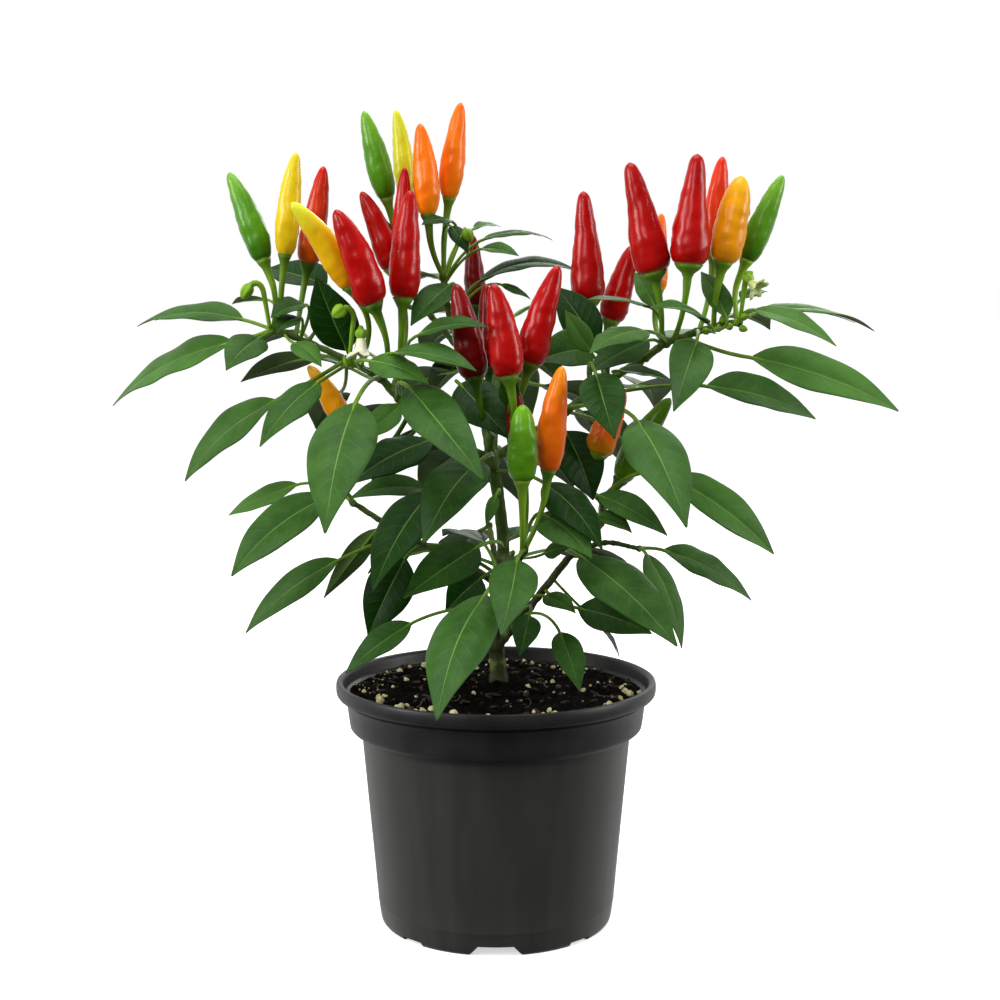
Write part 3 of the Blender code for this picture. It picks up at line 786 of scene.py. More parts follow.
# %% [markdown]
# ## The stem
# Each branch is a run of points with a thickness at each. The runs are smoothed, given a rod each,
# and swollen at the forks, as a growing plant's are. The rods only pass through each other, so a
# voxel remesh melts them into one skin, which is what makes the forks look grown and not plugged in.
# %% Branch plan
BRANCHES = {
    "trunk": [
        (1, 9, 78, 4.2), (1, 9, 101, 4.2), (0, 8, 115, 3.4), (3, 6, 148, 3.1), (1, 4, 173, 3.0),
        (-2, 2, 189, 3.1),
    ],
    "left": [
        (-2, 2, 189, 2.5), (-13, 0, 194, 2.3), (-26, 0, 202, 2.1), (-39, 0, 214, 2.0), (-46, 0, 222, 2.0),
    ],
    "far_left": [(-46, 0, 222, 1.8), (-60, 2, 229, 1.7), (-75, 2, 236, 1.6), (-89, 1, 241, 1.7)],
    "top": [
        (-2, 2, 189, 2.4), (-6, 6, 210, 2.1), (-14, 8, 232, 1.9), (-20, 8, 252, 1.7), (-21, 8, 262, 1.8),
    ],
    "top_left": [(-14, 8, 232, 1.6), (-26, 13, 246, 1.5), (-37, 17, 258, 1.6)],
    "middle": [(-2, 2, 189, 2.2), (-2, -4, 198, 2.0), (1, -10, 204, 1.9), (3, -14, 206, 1.8)],
    "right": [
        (-2, 2, 189, 2.5), (10, 4, 196, 2.3), (28, 8, 208, 2.1), (45, 8, 220, 2.0), (60, 4, 230, 2.0),
        (68, 2, 236, 2.0),
    ],
    "far_right": [(68, 2, 236, 1.8), (80, 2, 240, 1.7), (90, 2, 243, 1.6), (97, 2, 244, 1.7)],
    "back": [(-2, 2, 189, 2.3), (0, 20, 208, 2.0), (0, 34, 224, 1.8), (2, 46, 237, 1.7)],
    "low_right": [
        (1, 7, 112, 2.4), (14, 7, 128, 2.0), (31, 6, 150, 1.8), (43, 10, 162, 1.6), (43, 11, 172, 1.5),
    ],
    "low_far_right": [(31, 6, 150, 1.5), (44, 3, 155, 1.3), (58, 0, 153, 1.2)],
    "low_front": [(3, 6, 148, 2.0), (5, -10, 150, 1.7), (9, -26, 153, 1.6), (11, -36, 158, 1.7)],
    "low_left": [(2, 7, 137, 2.1), (-18, 8, 148, 1.8), (-40, 9, 159, 1.5), (-58, 5, 171, 1.4)],
    "low_back": [(2, 7, 128, 2.0), (0, 28, 142, 1.7), (-3, 48, 156, 1.5)],
}


def curve_through(points, steps=8):
    """A smooth line through points, each span split into short steps."""
    made = []
    for i in range(len(points) - 1):
        a, b = points[i], points[i + 1]
        before = points[i - 1] if i else a
        after = points[i + 2] if i + 2 < len(points) else b
        for step in range(steps):
            t = step / steps
            made.append(
                a * (2 * t**3 - 3 * t**2 + 1) + (b - before) * 0.5 * (t**3 - 2 * t**2 + t)
                + b * (3 * t**2 - 2 * t**3) + (after - a) * 0.5 * (t**3 - t**2)
            )
    return made + [points[-1]]


def places_of(run):
    return [Vector(point[:3]) for point in run]


wood_length = sum(length_of(places_of(run)) for run in BRANCHES.values())
print("branches:", len(BRANCHES), "with", round(wood_length), "mm of wood")

# %% Grow the branches and melt them together
STEM_SLIM = 0.86  # the solid's rods are a little stouter than the wood
# the swellings at the forks of the trunk: the middle and radius of each
FORKS = (((1, 9, 97), 4.9), ((0, 8, 112), 4.3), ((2, 7, 137), 3.8), ((3, 6, 148), 4.0), ((-2, 2, 188), 4.2))


def branch_radius(run):
    """Thickness along a branch: between its points, and drawn in at the end like a bud."""
    places = places_of(run)
    total = length_of(places)
    table = [(length_of(places[:i + 1]) / total, point[3]) for i, point in enumerate(run)]
    return lambda share: between(table, share) * (STEM_SLIM if share < 0.985 else STEM_SLIM * 0.72)


def knob(at, radius, name):
    """A swelling at a fork: a lump rounded off with a Subdivision Surface."""
    made = lump(name, 90, (1, 1, 1.1), 0.12)
    applied(made, "SUBSURF", levels=1, render_levels=1)
    made.data.transform(Matrix.Translation(at * MM) @ Matrix.Scale(radius * 2.0 * STEM_SLIM, 4))
    return made


wood = []
for name, run in BRANCHES.items():
    ribs = (lambda turn, share: 1 + 0.03 * math.cos(5 * turn + 2 * share))
    wood.append(carried(rod, f"branch_{name}", curve_through(places_of(run)), branch_radius(run), UP, ribs))
    wood.append(knob(Vector(run[-1][:3]), run[-1][3] * 1.3, f"knob_{name}"))
    if name != "trunk":
        wood += [knob(Vector(point[:3]), point[3] * 1.18, f"knot_{name}") for point in run[1:-1]]
wood += [knob(Vector(at), radius, "fork") for at, radius in FORKS]
stem = joined("stem", wood)
applied(stem, "REMESH", mode="VOXEL", voxel_size=0.45 * MM)
applied(stem, "SMOOTH", factor=0.6, iterations=4)
outward = [vertex.normal.copy() for vertex in stem.data.vertices]
for vertex, normal in zip(stem.data.vertices, outward):
    p = vertex.co / MM
    grain = noise.noise((p.x * 0.9, p.y * 0.9, p.z * 0.12)) * 0.18 + noise.noise(p * 0.35) * 0.22
    vertex.co += normal * grain * MM
smooth(coated(stem, stem_wood))
print("stem:", len(stem.data.polygons), "faces")

# %% [markdown]
# ## How a stalk leaves the stem
# A petiole or a flower stalk starts inside the nearest branch and bends until it meets its leaf or
# chilli head on. The line is a simple curve of three points: root, bend and end.
# %% Stalk lines
def nearest_on_stem(point):
    """The place on the branches' middle lines that is closest to a point."""
    best = None
    for run in BRANCHES.values():
        for a, b in zip(run, run[1:]):
            start, along = Vector(a[:3]), Vector(b[:3]) - Vector(a[:3])
            share = min(1, max(0, (point - start).dot(along) / along.length_squared))
            here = start + along * share
            if best is None or (here - point).length < (best - point).length:
                best = here
    return best


def stalk_line(foot, end, heading, steps=16):
    root = nearest_on_stem(Vector(foot))
    bend = end - heading * (0.45 * (end - root).length)
    shares = [i / steps for i in range(steps + 1)]
    return [root.lerp(bend, s).lerp(bend.lerp(end, s), s) for s in shares]


first = stalk_line((-89, 1, 241), Vector((-92, 0, 268)), UP)
print("the first chilli's stalk is", round(length_of(first), 1), "mm")

# %% [markdown]
# ## One chilli
# A pod is widest just above its calyx and narrows in a long easy curve to a blunt point. It could be
# a stretched sphere, but that gives the wrong shoulder, so a cylinder is subdivided into rings and
# each ring is scaled to the pod's outline. The calyx, the green cup that grips the pod, needs no
# template of its own: it is the ribbed and swollen end of each stalk.
# %% Pod template
POD = [
    (0.0, 0.45), (0.02, 0.70), (0.055, 0.89), (0.11, 0.98), (0.18, 1.01), (0.34, 0.98), (0.55, 0.85),
    (0.75, 0.67), (0.88, 0.49), (0.95, 0.34), (0.985, 0.19), (1.0, 0.05),
]
POD_SIDES, POD_RINGS = 28, 44

pod_template = rod_template("pod_template", POD_SIDES, POD_RINGS)
# more rings near the two ends, where the outline turns quickly
for vertex in pod_template.data.vertices:
    vertex.co.z = 0.5 - 0.5 * math.cos(math.pi * min(1, max(0, vertex.co.z)))
rings = [0.5 - 0.5 * math.cos(math.pi * i / POD_RINGS) for i in range(POD_RINGS + 1)]
scale_rows(pod_template, 2, rings, [between(POD, ring) for ring in rings])
marked(pod_template, "share", lambda co: co.z)
print("pod:", len(pod_template.data.polygons), "faces in", POD_RINGS, "rings")

# %% [markdown]
# ## All the chillies
# Each row gives where a stalk leaves the stem, the two ends of the pod, its width and how ripe it
# is. Every copy of the pod is bowed a little, and dented by noise of its own, because the soft
# dents are what break up the highlights on the real skin.
# %% Chilli plan
CHILLIES = [
    ((-89, 1, 241), (-92, 0, 268), (-106, 5, 303), 11.0, "green"),
    ((-86, 1, 240), (-83, -5, 270), (-78, -5, 310), 10.2, "yellow"),
    ((-80, 2, 238), (-76, 12, 267), (-69, 12, 306), 10.5, "turning_red"),
    ((-55, 1, 227), (-57, -14, 258), (-78, -22, 290), 11.3, "green_tipped"),
    ((-46, 0, 222), (-47, -22, 251), (-61, -26, 287), 13.3, "red"),
    ((-42, 0, 217), (-42, 12, 265), (-54, 12, 296), 10.2, "red"),
    ((-39, 0, 214), (-36, -14, 253), (-33, -14, 295), 12.6, "red"),
    ((-30, 14, 250), (-37, 1, 263), (-36, 3, 305), 8.8, "red"),
    ((-37, 17, 258), (-44, 16, 293), (-53, 15, 328), 10.4, "green"),
    ((-37, 17, 258), (-37, 31, 294), (-41, 31, 330), 9.2, "greenish_yellow"),
    ((-21, 8, 262), (-27, 4, 286), (-30, 4, 322), 11.0, "orange"),
    ((-21, 8, 261), (-19, 12, 293), (-14, 12, 331), 10.2, "orange"),
    ((0, 34, 224), (-8, 44, 250), (-10, 45, 280), 9.2, "dark_red"),
    ((-2, -6, 200), (-8, -30, 223), (-15, -30, 259), 12.0, "dark_red"),
    ((-3, 2, 194), (-3, -7, 226), (-4, -6, 259), 9.6, "dark_red"),
    ((3, -14, 206), (5, -40, 224), (-1, -40, 259), 12.8, "red"),
    ((3, -14, 206), (13, -22, 228), (24, -22, 266), 12.4, "red"),
    ((38, 8, 215), (37, 10, 252), (35, 10, 296), 13.2, "red"),
    ((45, 8, 220), (47, 24, 244), (56, 24, 275), 11.6, "red"),
    ((66, 2, 234), (62, -8, 263), (52, -8, 306), 14.2, "red"),
    ((69, 2, 236), (66, 26, 256), (68, 28, 288), 9.0, "orange"),
    ((71, 2, 237), (75, -12, 266), (78, -12, 309), 14.4, "red"),
    ((81, 2, 240), (88, 14, 271), (91, 14, 310), 10.6, "orange_red"),
    ((87, 2, 242), (89, -7, 267), (96, -7, 301), 13.4, "amber"),
    ((97, 2, 244), (100, 6, 268), (114, 6, 302), 10.6, "green"),
    ((10, -32, 156), (10, -46, 185), (10, -46, 214), 12.0, "bright_green"),
    ((11, -36, 158), (20, -36, 188), (25, -38, 228), 11.8, "light_orange"),
    ((-34, 0, 209), (-62, 21, 199), (-77, 20, 226), 10.0, "amber"),
    ((43, 11, 171), (41, 2, 191), (51, 0, 217), 12.0, "unripe_orange"),
    ((43, 10, 164), (51, 16, 179), (71, 14, 213), 12.0, "deep_green"),
    ((10, -32, 156), (10, -28, 193), (6, -29, 222), 9.4, "dark_red"),
]
POD_BOW = 2.0  # mm that a pod's middle is pushed up
# how a pod's width differs from the usual outline: (share of the length, factor)
FORMS = {
    "plain": [(0.0, 0.9), (0.08, 0.95), (0.2, 1.0), (1.0, 1.0)],
    "bottle": [
        (0.0, 1.08), (0.1, 1.06), (0.25, 1.03), (0.4, 0.97), (0.55, 0.91), (0.75, 0.89), (0.88, 0.96),
        (1.0, 1.15),
    ],
    "plump": [(0.0, 0.80), (0.08, 0.88), (0.3, 0.98), (0.55, 1.08), (0.75, 1.18), (0.88, 1.2), (1.0, 1.1)],
    "tapered": [(0.0, 0.74), (0.1, 0.80), (0.25, 0.94), (0.42, 1.0), (1.0, 1.0)],
    "tapered_plump": [
        (0.0, 0.78), (0.1, 0.84), (0.25, 0.95), (0.5, 1.06), (0.75, 1.15), (0.88, 1.18), (1.0, 1.1),
    ],
}
FORM_OF = {18: "bottle", 20: "bottle", 22: "bottle", 24: "plump", 26: "tapered_plump"}
FORM_OF.update({number: "tapered" for number in (1, 2, 4, 9, 10, 11, 12, 25, 27, 28, 30)})
# stalks that are greener or paler than the rest, from 0 dark to 1 light
STALK_TONE = {
    1: 0.6, 9: 0.6, 13: 0.2, 14: 0.3, 15: 0.2, 24: 0.65, 25: 0.95, 26: 0.75, 27: 0.6, 28: 0.3, 30: 0.3,
}
longest = max((Vector(tip) - Vector(base)).length for _, base, tip, _, _ in CHILLIES)
print(len(CHILLIES), "chillies, the longest", round(longest), "mm")

# %% Shape one pod
def grown_pod(name, base, tip, radius, form, draw):
    """A copy of the pod, carried to its place, bowed, dented and given its form."""
    along = (tip - base).normalized()
    length = (tip - base).length
    bow = UP - along * along.z
    side = along.cross(Vector((0, -1, 0.2))).normalized()
    across = side.cross(along)
    sway = draw.uniform(-0.5, 0.5)
    dent_seed = Vector([draw.uniform(0, 90) for _ in range(3)])
    pod = copy_of(pod_template, name)
    for vertex in pod.data.vertices:
        x, y, z = vertex.co
        arc = math.sin(z * math.pi)
        around = Vector((x, y, 0)).normalized() * 1.1 if x or y else Vector((0, 0, 0))
        dents = 0.075 * noise.noise(dent_seed + around * 0.8 + UP * z * 5.2)
        dents += 0.068 * noise.noise(dent_seed + around * 1.5 + UP * z * 14)
        dents *= min(1, z * 9) * min(1, (1 - z) * 6)
        crown = 0.03 * math.cos(5 * math.atan2(y, x)) * max(0, 1 - z * 8)
        wide = radius * (1 + dents + crown) * between(form, z)
        centre = base + along * (length * z) + bow * (arc * POD_BOW) + side * (sway * arc)
        vertex.co = (centre + (side * x + across * y) * wide) * MM
    return smooth(pod)


print("a pod is pushed up by", POD_BOW, "mm in its middle")

# %% Grow every chilli
GRIP = 7.5  # mm below the pod where a stalk turns to meet it
CUP = 6.6  # mm of stalk that swell into the calyx


def chilli(number, foot, base, tip, width, finish):
    """A pod, and the stalk and calyx under it."""
    draw = random.Random(100 + number)
    base, tip, radius = Vector(base), Vector(tip), width / 2
    form = FORMS[FORM_OF.get(number, "plain")]
    pod = grown_pod(f"chilli_{number:02d}", base, tip, radius, form, draw)
    coated(pod, POD_FINISHES[finish])

    along = (tip - base).normalized()
    line = stalk_line(foot, base - along * GRIP, along, 14)
    line += [base - along * below for below in (6.0, 4.5, 3.2, 2.2, 1.4, 0.7, 0.0, -0.7)]
    slim = 0.95 + 0.02 * radius
    neck = min(1.75, 0.24 * radius + 0.2)
    rim = radius * between(form, 0.02)
    cup = CUP / length_of(line)
    table = [
        (0.0, slim * 1.35), (0.06, slim), (max(0.12, 1 - 2.2 * cup), slim * 1.08), (1 - cup, neck),
        (1 - cup * 0.62, neck * 1.15), (1 - cup * 0.36, rim * 0.50), (1 - cup * 0.16, rim * 0.68),
        (1.0, rim * 0.745),
    ]
    ribs = (lambda turn, share: 1 + 0.045 * math.cos(5 * turn) * min(1, 0.35 + max(0, share - 1 + cup) * 9))
    stalk = carried(rod, f"stalk_{number:02d}", line, lambda s: between(table, s), UP, ribs)
    marked(stalk, "tone", STALK_TONE.get(number, 0.5) + draw.uniform(-0.1, 0.1))
    return pod, smooth(coated(stalk, stalk_green))


pods, stalks = [], []
for number, row in enumerate(CHILLIES, 1):
    pod, stalk = chilli(number, *row)
    pods.append(pod)
    stalks.append(stalk)
print(len(pods), "pods with", sum(len(p.data.polygons) for p in pods), "faces")

# %% [markdown]
# ## One leaf
# The blade starts as a flat grid. Each row of points is scaled to the leaf's outline, the middle
# column is pressed down into a midrib and the skin is quilted between the side veins. Solidify
# gives it its thinness, with the underside on a second material. Its UV map is left from the grid.
# %% Blade template
BLADE = [
    (0.0, 0.09), (0.03, 0.25), (0.08, 0.50), (0.2, 0.86), (0.36, 1.0), (0.5, 0.95), (0.64, 0.78), (0.76, 0.56),
    (0.87, 0.31), (0.95, 0.13), (1.0, 0.03),
]
COLUMNS, ROWS = 20, 44
BLADE_THIN = 0.016  # share of the width

nothing()
bpy.ops.mesh.primitive_grid_add(x_subdivisions=COLUMNS, y_subdivisions=ROWS, size=1, location=(0, 0, 0))
blade = bpy.context.active_object
blade.name = "blade_template"
blade.data.transform(Matrix.Translation((0, 0.5, 0)))
for vertex in blade.data.vertices:
    x, y, _ = vertex.co
    across, side = abs(x) * 2, x > 0
    phase = VEINS * (y - VEIN_SLANT * across**1.2) + (VEIN_STEP if side else 0)
    quilt = abs(math.sin(math.pi * (phase + 0.5))) ** 0.7
    window = min(1, across * 4) * (1 - across**3) * min(1, y * 8) * min(1, (1 - y) * 3)
    groove = math.exp(-((across / 0.1) ** 2)) * (1 - 0.6 * y)
    vertex.co.z = 0.013 * quilt * window - 0.018 * groove
rows = [i / ROWS for i in range(ROWS + 1)]
scale_rows(blade, 1, rows, [between(BLADE, row) for row in rows])
marked(blade, "share", lambda co: co.y)
coated(blade, leaf_top, leaf_under)
applied(blade, "SOLIDIFY", thickness=BLADE_THIN, offset=-1, material_offset=1, material_offset_rim=0)
print("blade:", len(blade.data.polygons), "faces")

# %% [markdown]
# ## All the leaves
# Each row gives where the petiole leaves the stem, the two ends of the blade, its width, how far it
# arches, which way its face looks, and its tone from old and dark to young and light. The lowest
# tones, near zero and below, are painted shade on leaves that sit in the shade inside the plant. The
# first rows are the leaves of the solid model, and those after them are the smaller ones between.
# %% Leaf plan
LEAVES = [
    ((-89, 1, 241), (-102, 8, 245), (-148, 25, 242), 17, 9, (0, -1, 2), 0.45),
    ((-89, 1, 241), (-106, 5, 236), (-160, 30, 209), 22, 10, (-1, -2, 3), 0.55),
    ((-88, 1, 241), (-93, -6, 238), (-104, -24, 226), 16, 4, (-1, -4, 1), 0.35),
    ((-60, 2, 229), (-88, -2, 213), (-126, 5, 180), 22, 8, (-2, -3, 4), 0.45),
    ((-58, 2, 228), (-69, -18, 221), (-89, -42, 198), 16, 6, (-1, -3, 2), 0.45),
    ((-46, 0, 222), (-52, -52, 215), (-59, -100, 173), 25, 10, (-1, -5, 3), 0.38),
    ((-58, 5, 171), (-66, -12, 176), (-104, -20, 145), 22, 8, (-2, -4, 4), 0.4),
    ((-38, 9, 158), (-64, 2, 148), (-102, 2, 118), 17, 7, (-1, -3, 4), 0.45),
    ((0, 3, 180), (-25, -28, 179), (-45, -66, 147), 22, 8, (-2, -5, 3), 0.08),
    ((-39, 0, 214), (-33, -36, 220), (-4, -80, 189), 20, 9, (0, -5, 4), 0.3),
    ((-2, 2, 189), (-6, -36, 192), (-26, -78, 166), 22, 8, (-1, -5, 4), 0.25),
    ((11, -36, 158), (8, -50, 156), (2, -90, 135), 18, 7, (0, -5, 4), 0.42),
    ((2, 7, 140), (-4, -58, 144), (-20, -117, 111), 23, 10, (-1, -5, 5), 0.45),
    ((31, 6, 150), (33, -30, 154), (66, -74, 128), 23, 8, (1, -4, 4), 0.38),
    ((58, 0, 153), (60, -8, 152), (72, -34, 119), 15, 6, (3, -4, 2), 0.4),
    ((58, 0, 153), (68, 2, 152), (105, 10, 130), 16, 6, (2, -3, 4), 0.45),
    ((97, 2, 244), (107, 10, 248), (156, 25, 240), 15, 9, (0, -1, 4), 0.6),
    ((75, 2, 238), (102, -2, 230), (160, -5, 209), 22, 10, (1, -3, 3), 0.6),
    ((34, 8, 212), (86, 13, 218), (132, 22, 204), 20, 7, (0, -3, 4), 0.45),
    ((80, 2, 240), (77, -26, 237), (66, -52, 212), 17, 6, (1, -5, 3), 0.35),
    ((68, 2, 236), (58, -22, 241), (35, -46, 233), 16, 6, (-1, -3, 4), 0.38),
    ((30, 8, 209), (53, -44, 208), (67, -92, 174), 23, 9, (1, -5, 3), 0.35),
    ((43, 11, 172), (70, -8, 183), (111, -8, 152), 20, 8, (3, -4, 3), 0.6),
    ((2, 46, 237), (4, 62, 226), (16, 117, 196), 23, 10, (0, 3, 4), 0.4),
    ((-26, 0, 202), (-44, 48, 208), (-84, 90, 178), 22, 9, (-2, 3, 4), 0.35),
    ((45, 8, 220), (60, 46, 217), (72, 98, 204), 22, 9, (1, 3, 4), 0.4),
    ((-3, 48, 156), (-8, 60, 152), (-26, 108, 122), 22, 9, (-1, 3, 4), 0.35),
]
IN_MODEL = len(LEAVES)
LEAVES += [
    # left
    ((-88, 4, 243), (-95, 25, 253), (-111, 40, 251), 9, 2, (0, 1, 3), 0.5),
    ((-75, 2, 237), (-69, 15, 259), (-96, 45, 266), 17, 3, (0, -2, 2), 0.1),
    ((-78, 2, 238), (-76, 0, 251), (-88, -12, 246), 12, 3, (0, -2, 3), 0.35),
    ((-78, 2, 238), (-78, -4, 246), (-86, -14, 240), 9, 3, (0, -2, 3), 0.3),
    ((-58, 1, 228), (-59, -4, 233), (-70, -12, 262), 19, 5, (-1, -3, 1), 0.02),
    ((-84, 1, 240), (-80, -6, 236), (-68, -16, 227), 10, 3, (0, -2, 3), 0.75),
    ((-62, 2, 230), (-73, 10, 230), (-106, 28, 219), 14, 4, (0, 2, 3), 0.45),
    ((-58, 5, 171), (-81, 10, 178), (-111, 20, 164), 10.5, 4, (0, -3, 3), 0.85),
    ((-35, 8, 157), (-49, 15, 159), (-72, 20, 129), 10, 4, (1, 1, 2), 0.4),
    ((2, 6, 140), (-37, 5, 148), (-52, 0, 117), 20, 6, (0, -4, 2), -0.05),
    ((-5, 2, 187), (-27, -10, 178), (-57, -22, 176), 14, 6, (0, -2, 3), 0.35),
    ((-14, 0, 195), (-26, -14, 198), (-56, -36, 183), 20, 6, (-1, -3, 3), 0.1),
    ((-38, 0, 213), (-38, -8, 211), (-54, -18, 197), 12, 3, (-1, -3, 1), 0.65),
    ((2, 5, 152), (-7, -22, 157), (-35, -42, 140), 20, 5, (-1, -4, 3), 0.35),
    ((0, 7, 125), (-33, -30, 128), (-58, -38, 110), 13, 5, (-1, -3, 3), 0.35),
    # centre
    ((-8, 5, 212), (-14, -14, 220), (5, -30, 200), 20, 5, (0, -5, 3), 0.1),
    ((2, 6, 146), (-6, -8, 142), (-20, -16, 130), 15, 4, (0, -4, 2), -0.05),
    ((-1, 3, 184), (19, -24, 182), (40, -50, 160), 17, 6, (1, -4, 3), 0.02),
    ((11, -30, 154), (18, -30, 171), (36, -52, 157), 18, 5, (1, -4, 2), 0.4),
    ((9, -26, 153), (19, -20, 154), (29, -24, 157), 8, 2, (0, -3, 3), 0.4),
    ((3, -14, 206), (5, -33, 213), (4, -37, 227), 8, 2, (0, -3, 1), 0.35),
    ((6, 6, 118), (13, -30, 131), (9, -44, 118), 11, 3, (0, -5, 2), 0.1),
    ((12, 6, 124), (25, -28, 124), (32, -48, 105), 12, 4, (1, -5, 2), 0.35),
    ((12, 6, 124), (19, -20, 137), (31, -30, 132), 10, 3, (1, -3, 3), 0.35),
    ((20, 6, 135), (33, -8, 130), (62, -15, 121), 15, 5, (1, -4, 2), 0.3),
    ((24, 6, 139), (42, 5, 121), (51, 10, 105), 8, 3, (1, 0, 0), 0.1),
    ((1, 4, 173), (0, -10, 176), (-4, -14, 164), 5, 2, (0, -3, 2), 0.75),
    # right
    ((97, 2, 244), (102, -4, 249), (133, -14, 235), 14, 6, (1, -2, 3), 0.6),
    ((50, 7, 223), (49, -6, 225), (71, -8, 220), 10, 3, (0, -1, 3), 0.3),
    ((66, 3, 235), (60, -8, 237), (35, -26, 225), 14, 4, (-1, -3, 2), 0.3),
    ((84, 2, 241), (82, -20, 244), (59, -36, 250), 13, 6, (0, -2, 4), 0.4),
    ((67, 2, 236), (61, -4, 250), (35, -26, 253), 10, 4, (0, -1, 4), 0.35),
    ((38, 8, 215), (38, -36, 225), (44, -54, 202), 17, 5, (0, -5, 2), 0.25),
    ((43, 11, 172), (41, -2, 175), (68, -12, 160), 14, 5, (1, -3, 3), 0.4),
    ((43, 10, 164), (41, -8, 168), (54, -12, 161), 9, 3, (0, -2, 3), 0.4),
    ((43, 10, 164), (50, 40, 170), (59, 50, 166), 6, 2, (0, 1, 3), 0.5),
    ((20, 6, 203), (28, 5, 200), (39, -2, 173), 20, 4, (1, -4, 1), -0.05),
    ((96, 2, 244), (99, 12, 253), (111, 22, 256), 9, 3, (0, -1, 3), 0.3),
    ((80, 2, 240), (91, -6, 246), (82, 6, 264), 11, 3, (1, -3, 1), 0.4),
    ((68, 2, 236), (64, 10, 250), (56, 16, 264), 9, 3, (0, -2, 2), 0.5),
    # top
    ((-21, 8, 261), (-18, 2, 284), (-29, -8, 282), 8, 3, (0, -2, 3), 0.1),
    ((-21, 8, 261), (-18, 4, 282), (-11, -2, 271), 7, 3, (1, -3, 1), 0.1),
    ((-20, 8, 260), (-9, 30, 282), (2, 42, 283), 7, 3, (0, -1, 3), 0.5),
    ((-20, 8, 260), (-5, 10, 277), (23, 22, 277), 10, 7, (0, -1, 4), 0.4),
    ((-20, 8, 259), (-6, 4, 273), (9, -6, 270), 8, 3, (0, -2, 3), 0.45),
    ((-37, 17, 258), (-42, 16, 275), (-48, 14, 288), 8, 3, (-1, -2, 1), 0.4),
    ((-17, 8, 244), (-7, 12, 260), (34, 20, 264), 16, 12, (0, -1, 4), 0.1),
    ((-17, 8, 244), (2, 10, 259), (14, 8, 253), 5, 2, (0, -2, 3), 0.35),
    ((45, 8, 220), (40, -6, 235), (24, 4, 258), 16, 4, (-1, -3, 1), -0.05),
    ((45, 8, 220), (37, -14, 233), (27, -14, 249), 9, 3, (-1, -3, 1), 0.7),
    ((45, 8, 220), (38, -2, 233), (16, -14, 229), 18, 4, (-1, -4, 2), 0.3),
    ((-18, 8, 247), (-18, -2, 259), (-33, -18, 243), 15, 4, (-1, -3, 3), 0.3),
    ((-12, 7, 226), (-29, -34, 240), (-3, -48, 243), 12, 5, (0, -2, 3), 0.3),
    ((-46, -1, 222), (-39, -36, 233), (-7, -56, 227), 13, 6, (0, -2, 4), 0.4),
    ((-50, -3, 224), (-48, -34, 230), (-25, -48, 222), 13, 4, (0, -3, 3), 0.5),
    # back
    ((0, 34, 224), (20, 56, 216), (58, 98, 196), 20, 8, (1, 3, 4), 0.35),
    ((0, 34, 224), (-18, 60, 222), (-46, 104, 206), 20, 8, (-1, 3, 4), 0.4),
    ((2, 46, 237), (8, 60, 246), (34, 92, 252), 15, 6, (0, 2, 4), 0.5),
    ((2, 46, 237), (-8, 60, 244), (-30, 88, 246), 15, 6, (0, 2, 4), 0.45),
    ((-20, 8, 252), (-24, 30, 262), (-40, 66, 258), 14, 6, (0, 1, 4), 0.35),
    ((-46, 0, 222), (-60, 34, 224), (-96, 66, 226), 18, 8, (-2, 2, 4), 0.35),
    ((-75, 2, 236), (-82, 24, 240), (-104, 58, 232), 15, 6, (-1, 2, 4), 0.5),
    ((60, 4, 230), (72, 34, 236), (96, 70, 238), 16, 6, (1, 2, 4), 0.4),
    ((90, 2, 243), (96, 26, 246), (118, 58, 240), 15, 6, (1, 2, 4), 0.5),
    ((0, 28, 142), (26, 48, 146), (62, 84, 130), 18, 7, (1, 3, 4), 0.35),
    ((0, 28, 142), (-24, 46, 146), (-58, 80, 130), 18, 7, (-1, 3, 4), 0.3),
    ((-13, 0, 194), (-24, 30, 196), (-56, 72, 170), 20, 8, (-1, 3, 4), 0.25),
    ((28, 8, 208), (36, 38, 206), (60, 84, 176), 20, 8, (1, 3, 4), 0.3),
    ((-2, 2, 189), (2, 40, 190), (12, 92, 160), 20, 8, (0, 3, 4), 0.3),
    ((-60, 2, 229), (-66, 34, 214), (-80, 74, 196), 18, 7, (-1, 3, 4), 0.4),
    ((0, 34, 224), (6, 52, 232), (30, 84, 214), 17, 6, (1, 2, 4), 0.5),
    ((0, 34, 224), (-10, 52, 230), (-30, 86, 208), 17, 6, (-1, 2, 4), 0.4),
    ((-2, 2, 189), (-14, 30, 190), (-34, 66, 168), 18, 7, (-1, 3, 4), 0.35),
    ((-2, 2, 189), (14, 30, 190), (34, 68, 170), 18, 7, (1, 3, 4), 0.4),
    ((2, 7, 128), (4, 40, 150), (20, 76, 150), 17, 7, (1, 3, 4), 0.45),
    ((2, 7, 128), (-6, 40, 150), (-24, 74, 148), 17, 7, (-1, 3, 4), 0.4),
    ((28, 8, 208), (40, 20, 204), (52, 46, 186), 17, 6, (3, 2, 3), 0.35),
    ((-26, 0, 202), (-34, 20, 200), (-46, 44, 180), 17, 6, (-3, 2, 3), 0.35),
    ((-14, 8, 232), (-20, 26, 240), (-30, 56, 228), 15, 5, (-1, 2, 4), 0.5),
    ((45, 8, 220), (50, 28, 232), (62, 58, 222), 15, 5, (1, 2, 4), 0.45),
]
print(len(LEAVES), "leaves, of which", IN_MODEL, "stand for solids")

# %% [markdown]
# Every copy of the blade is carried onto its own arched midrib, folded a little along it, twisted
# and waved at the margins, each by a different amount, because no two leaves on a plant are alike.
# The petiole runs on under the blade as the raised midrib that a real leaf has on its underside.
# %% Grow every leaf
# fold, droop and sickle of the few leaves that must hang one way; None is left to the draw
HABIT = {13: (0.12, 0.42, None), 2: (0.12, 0.1, 0.5), 6: (0.14, 0.3, None), 22: (0.15, 0.28, None)}
RIB_REACH = 0.82  # share of the blade that the raised midrib runs along


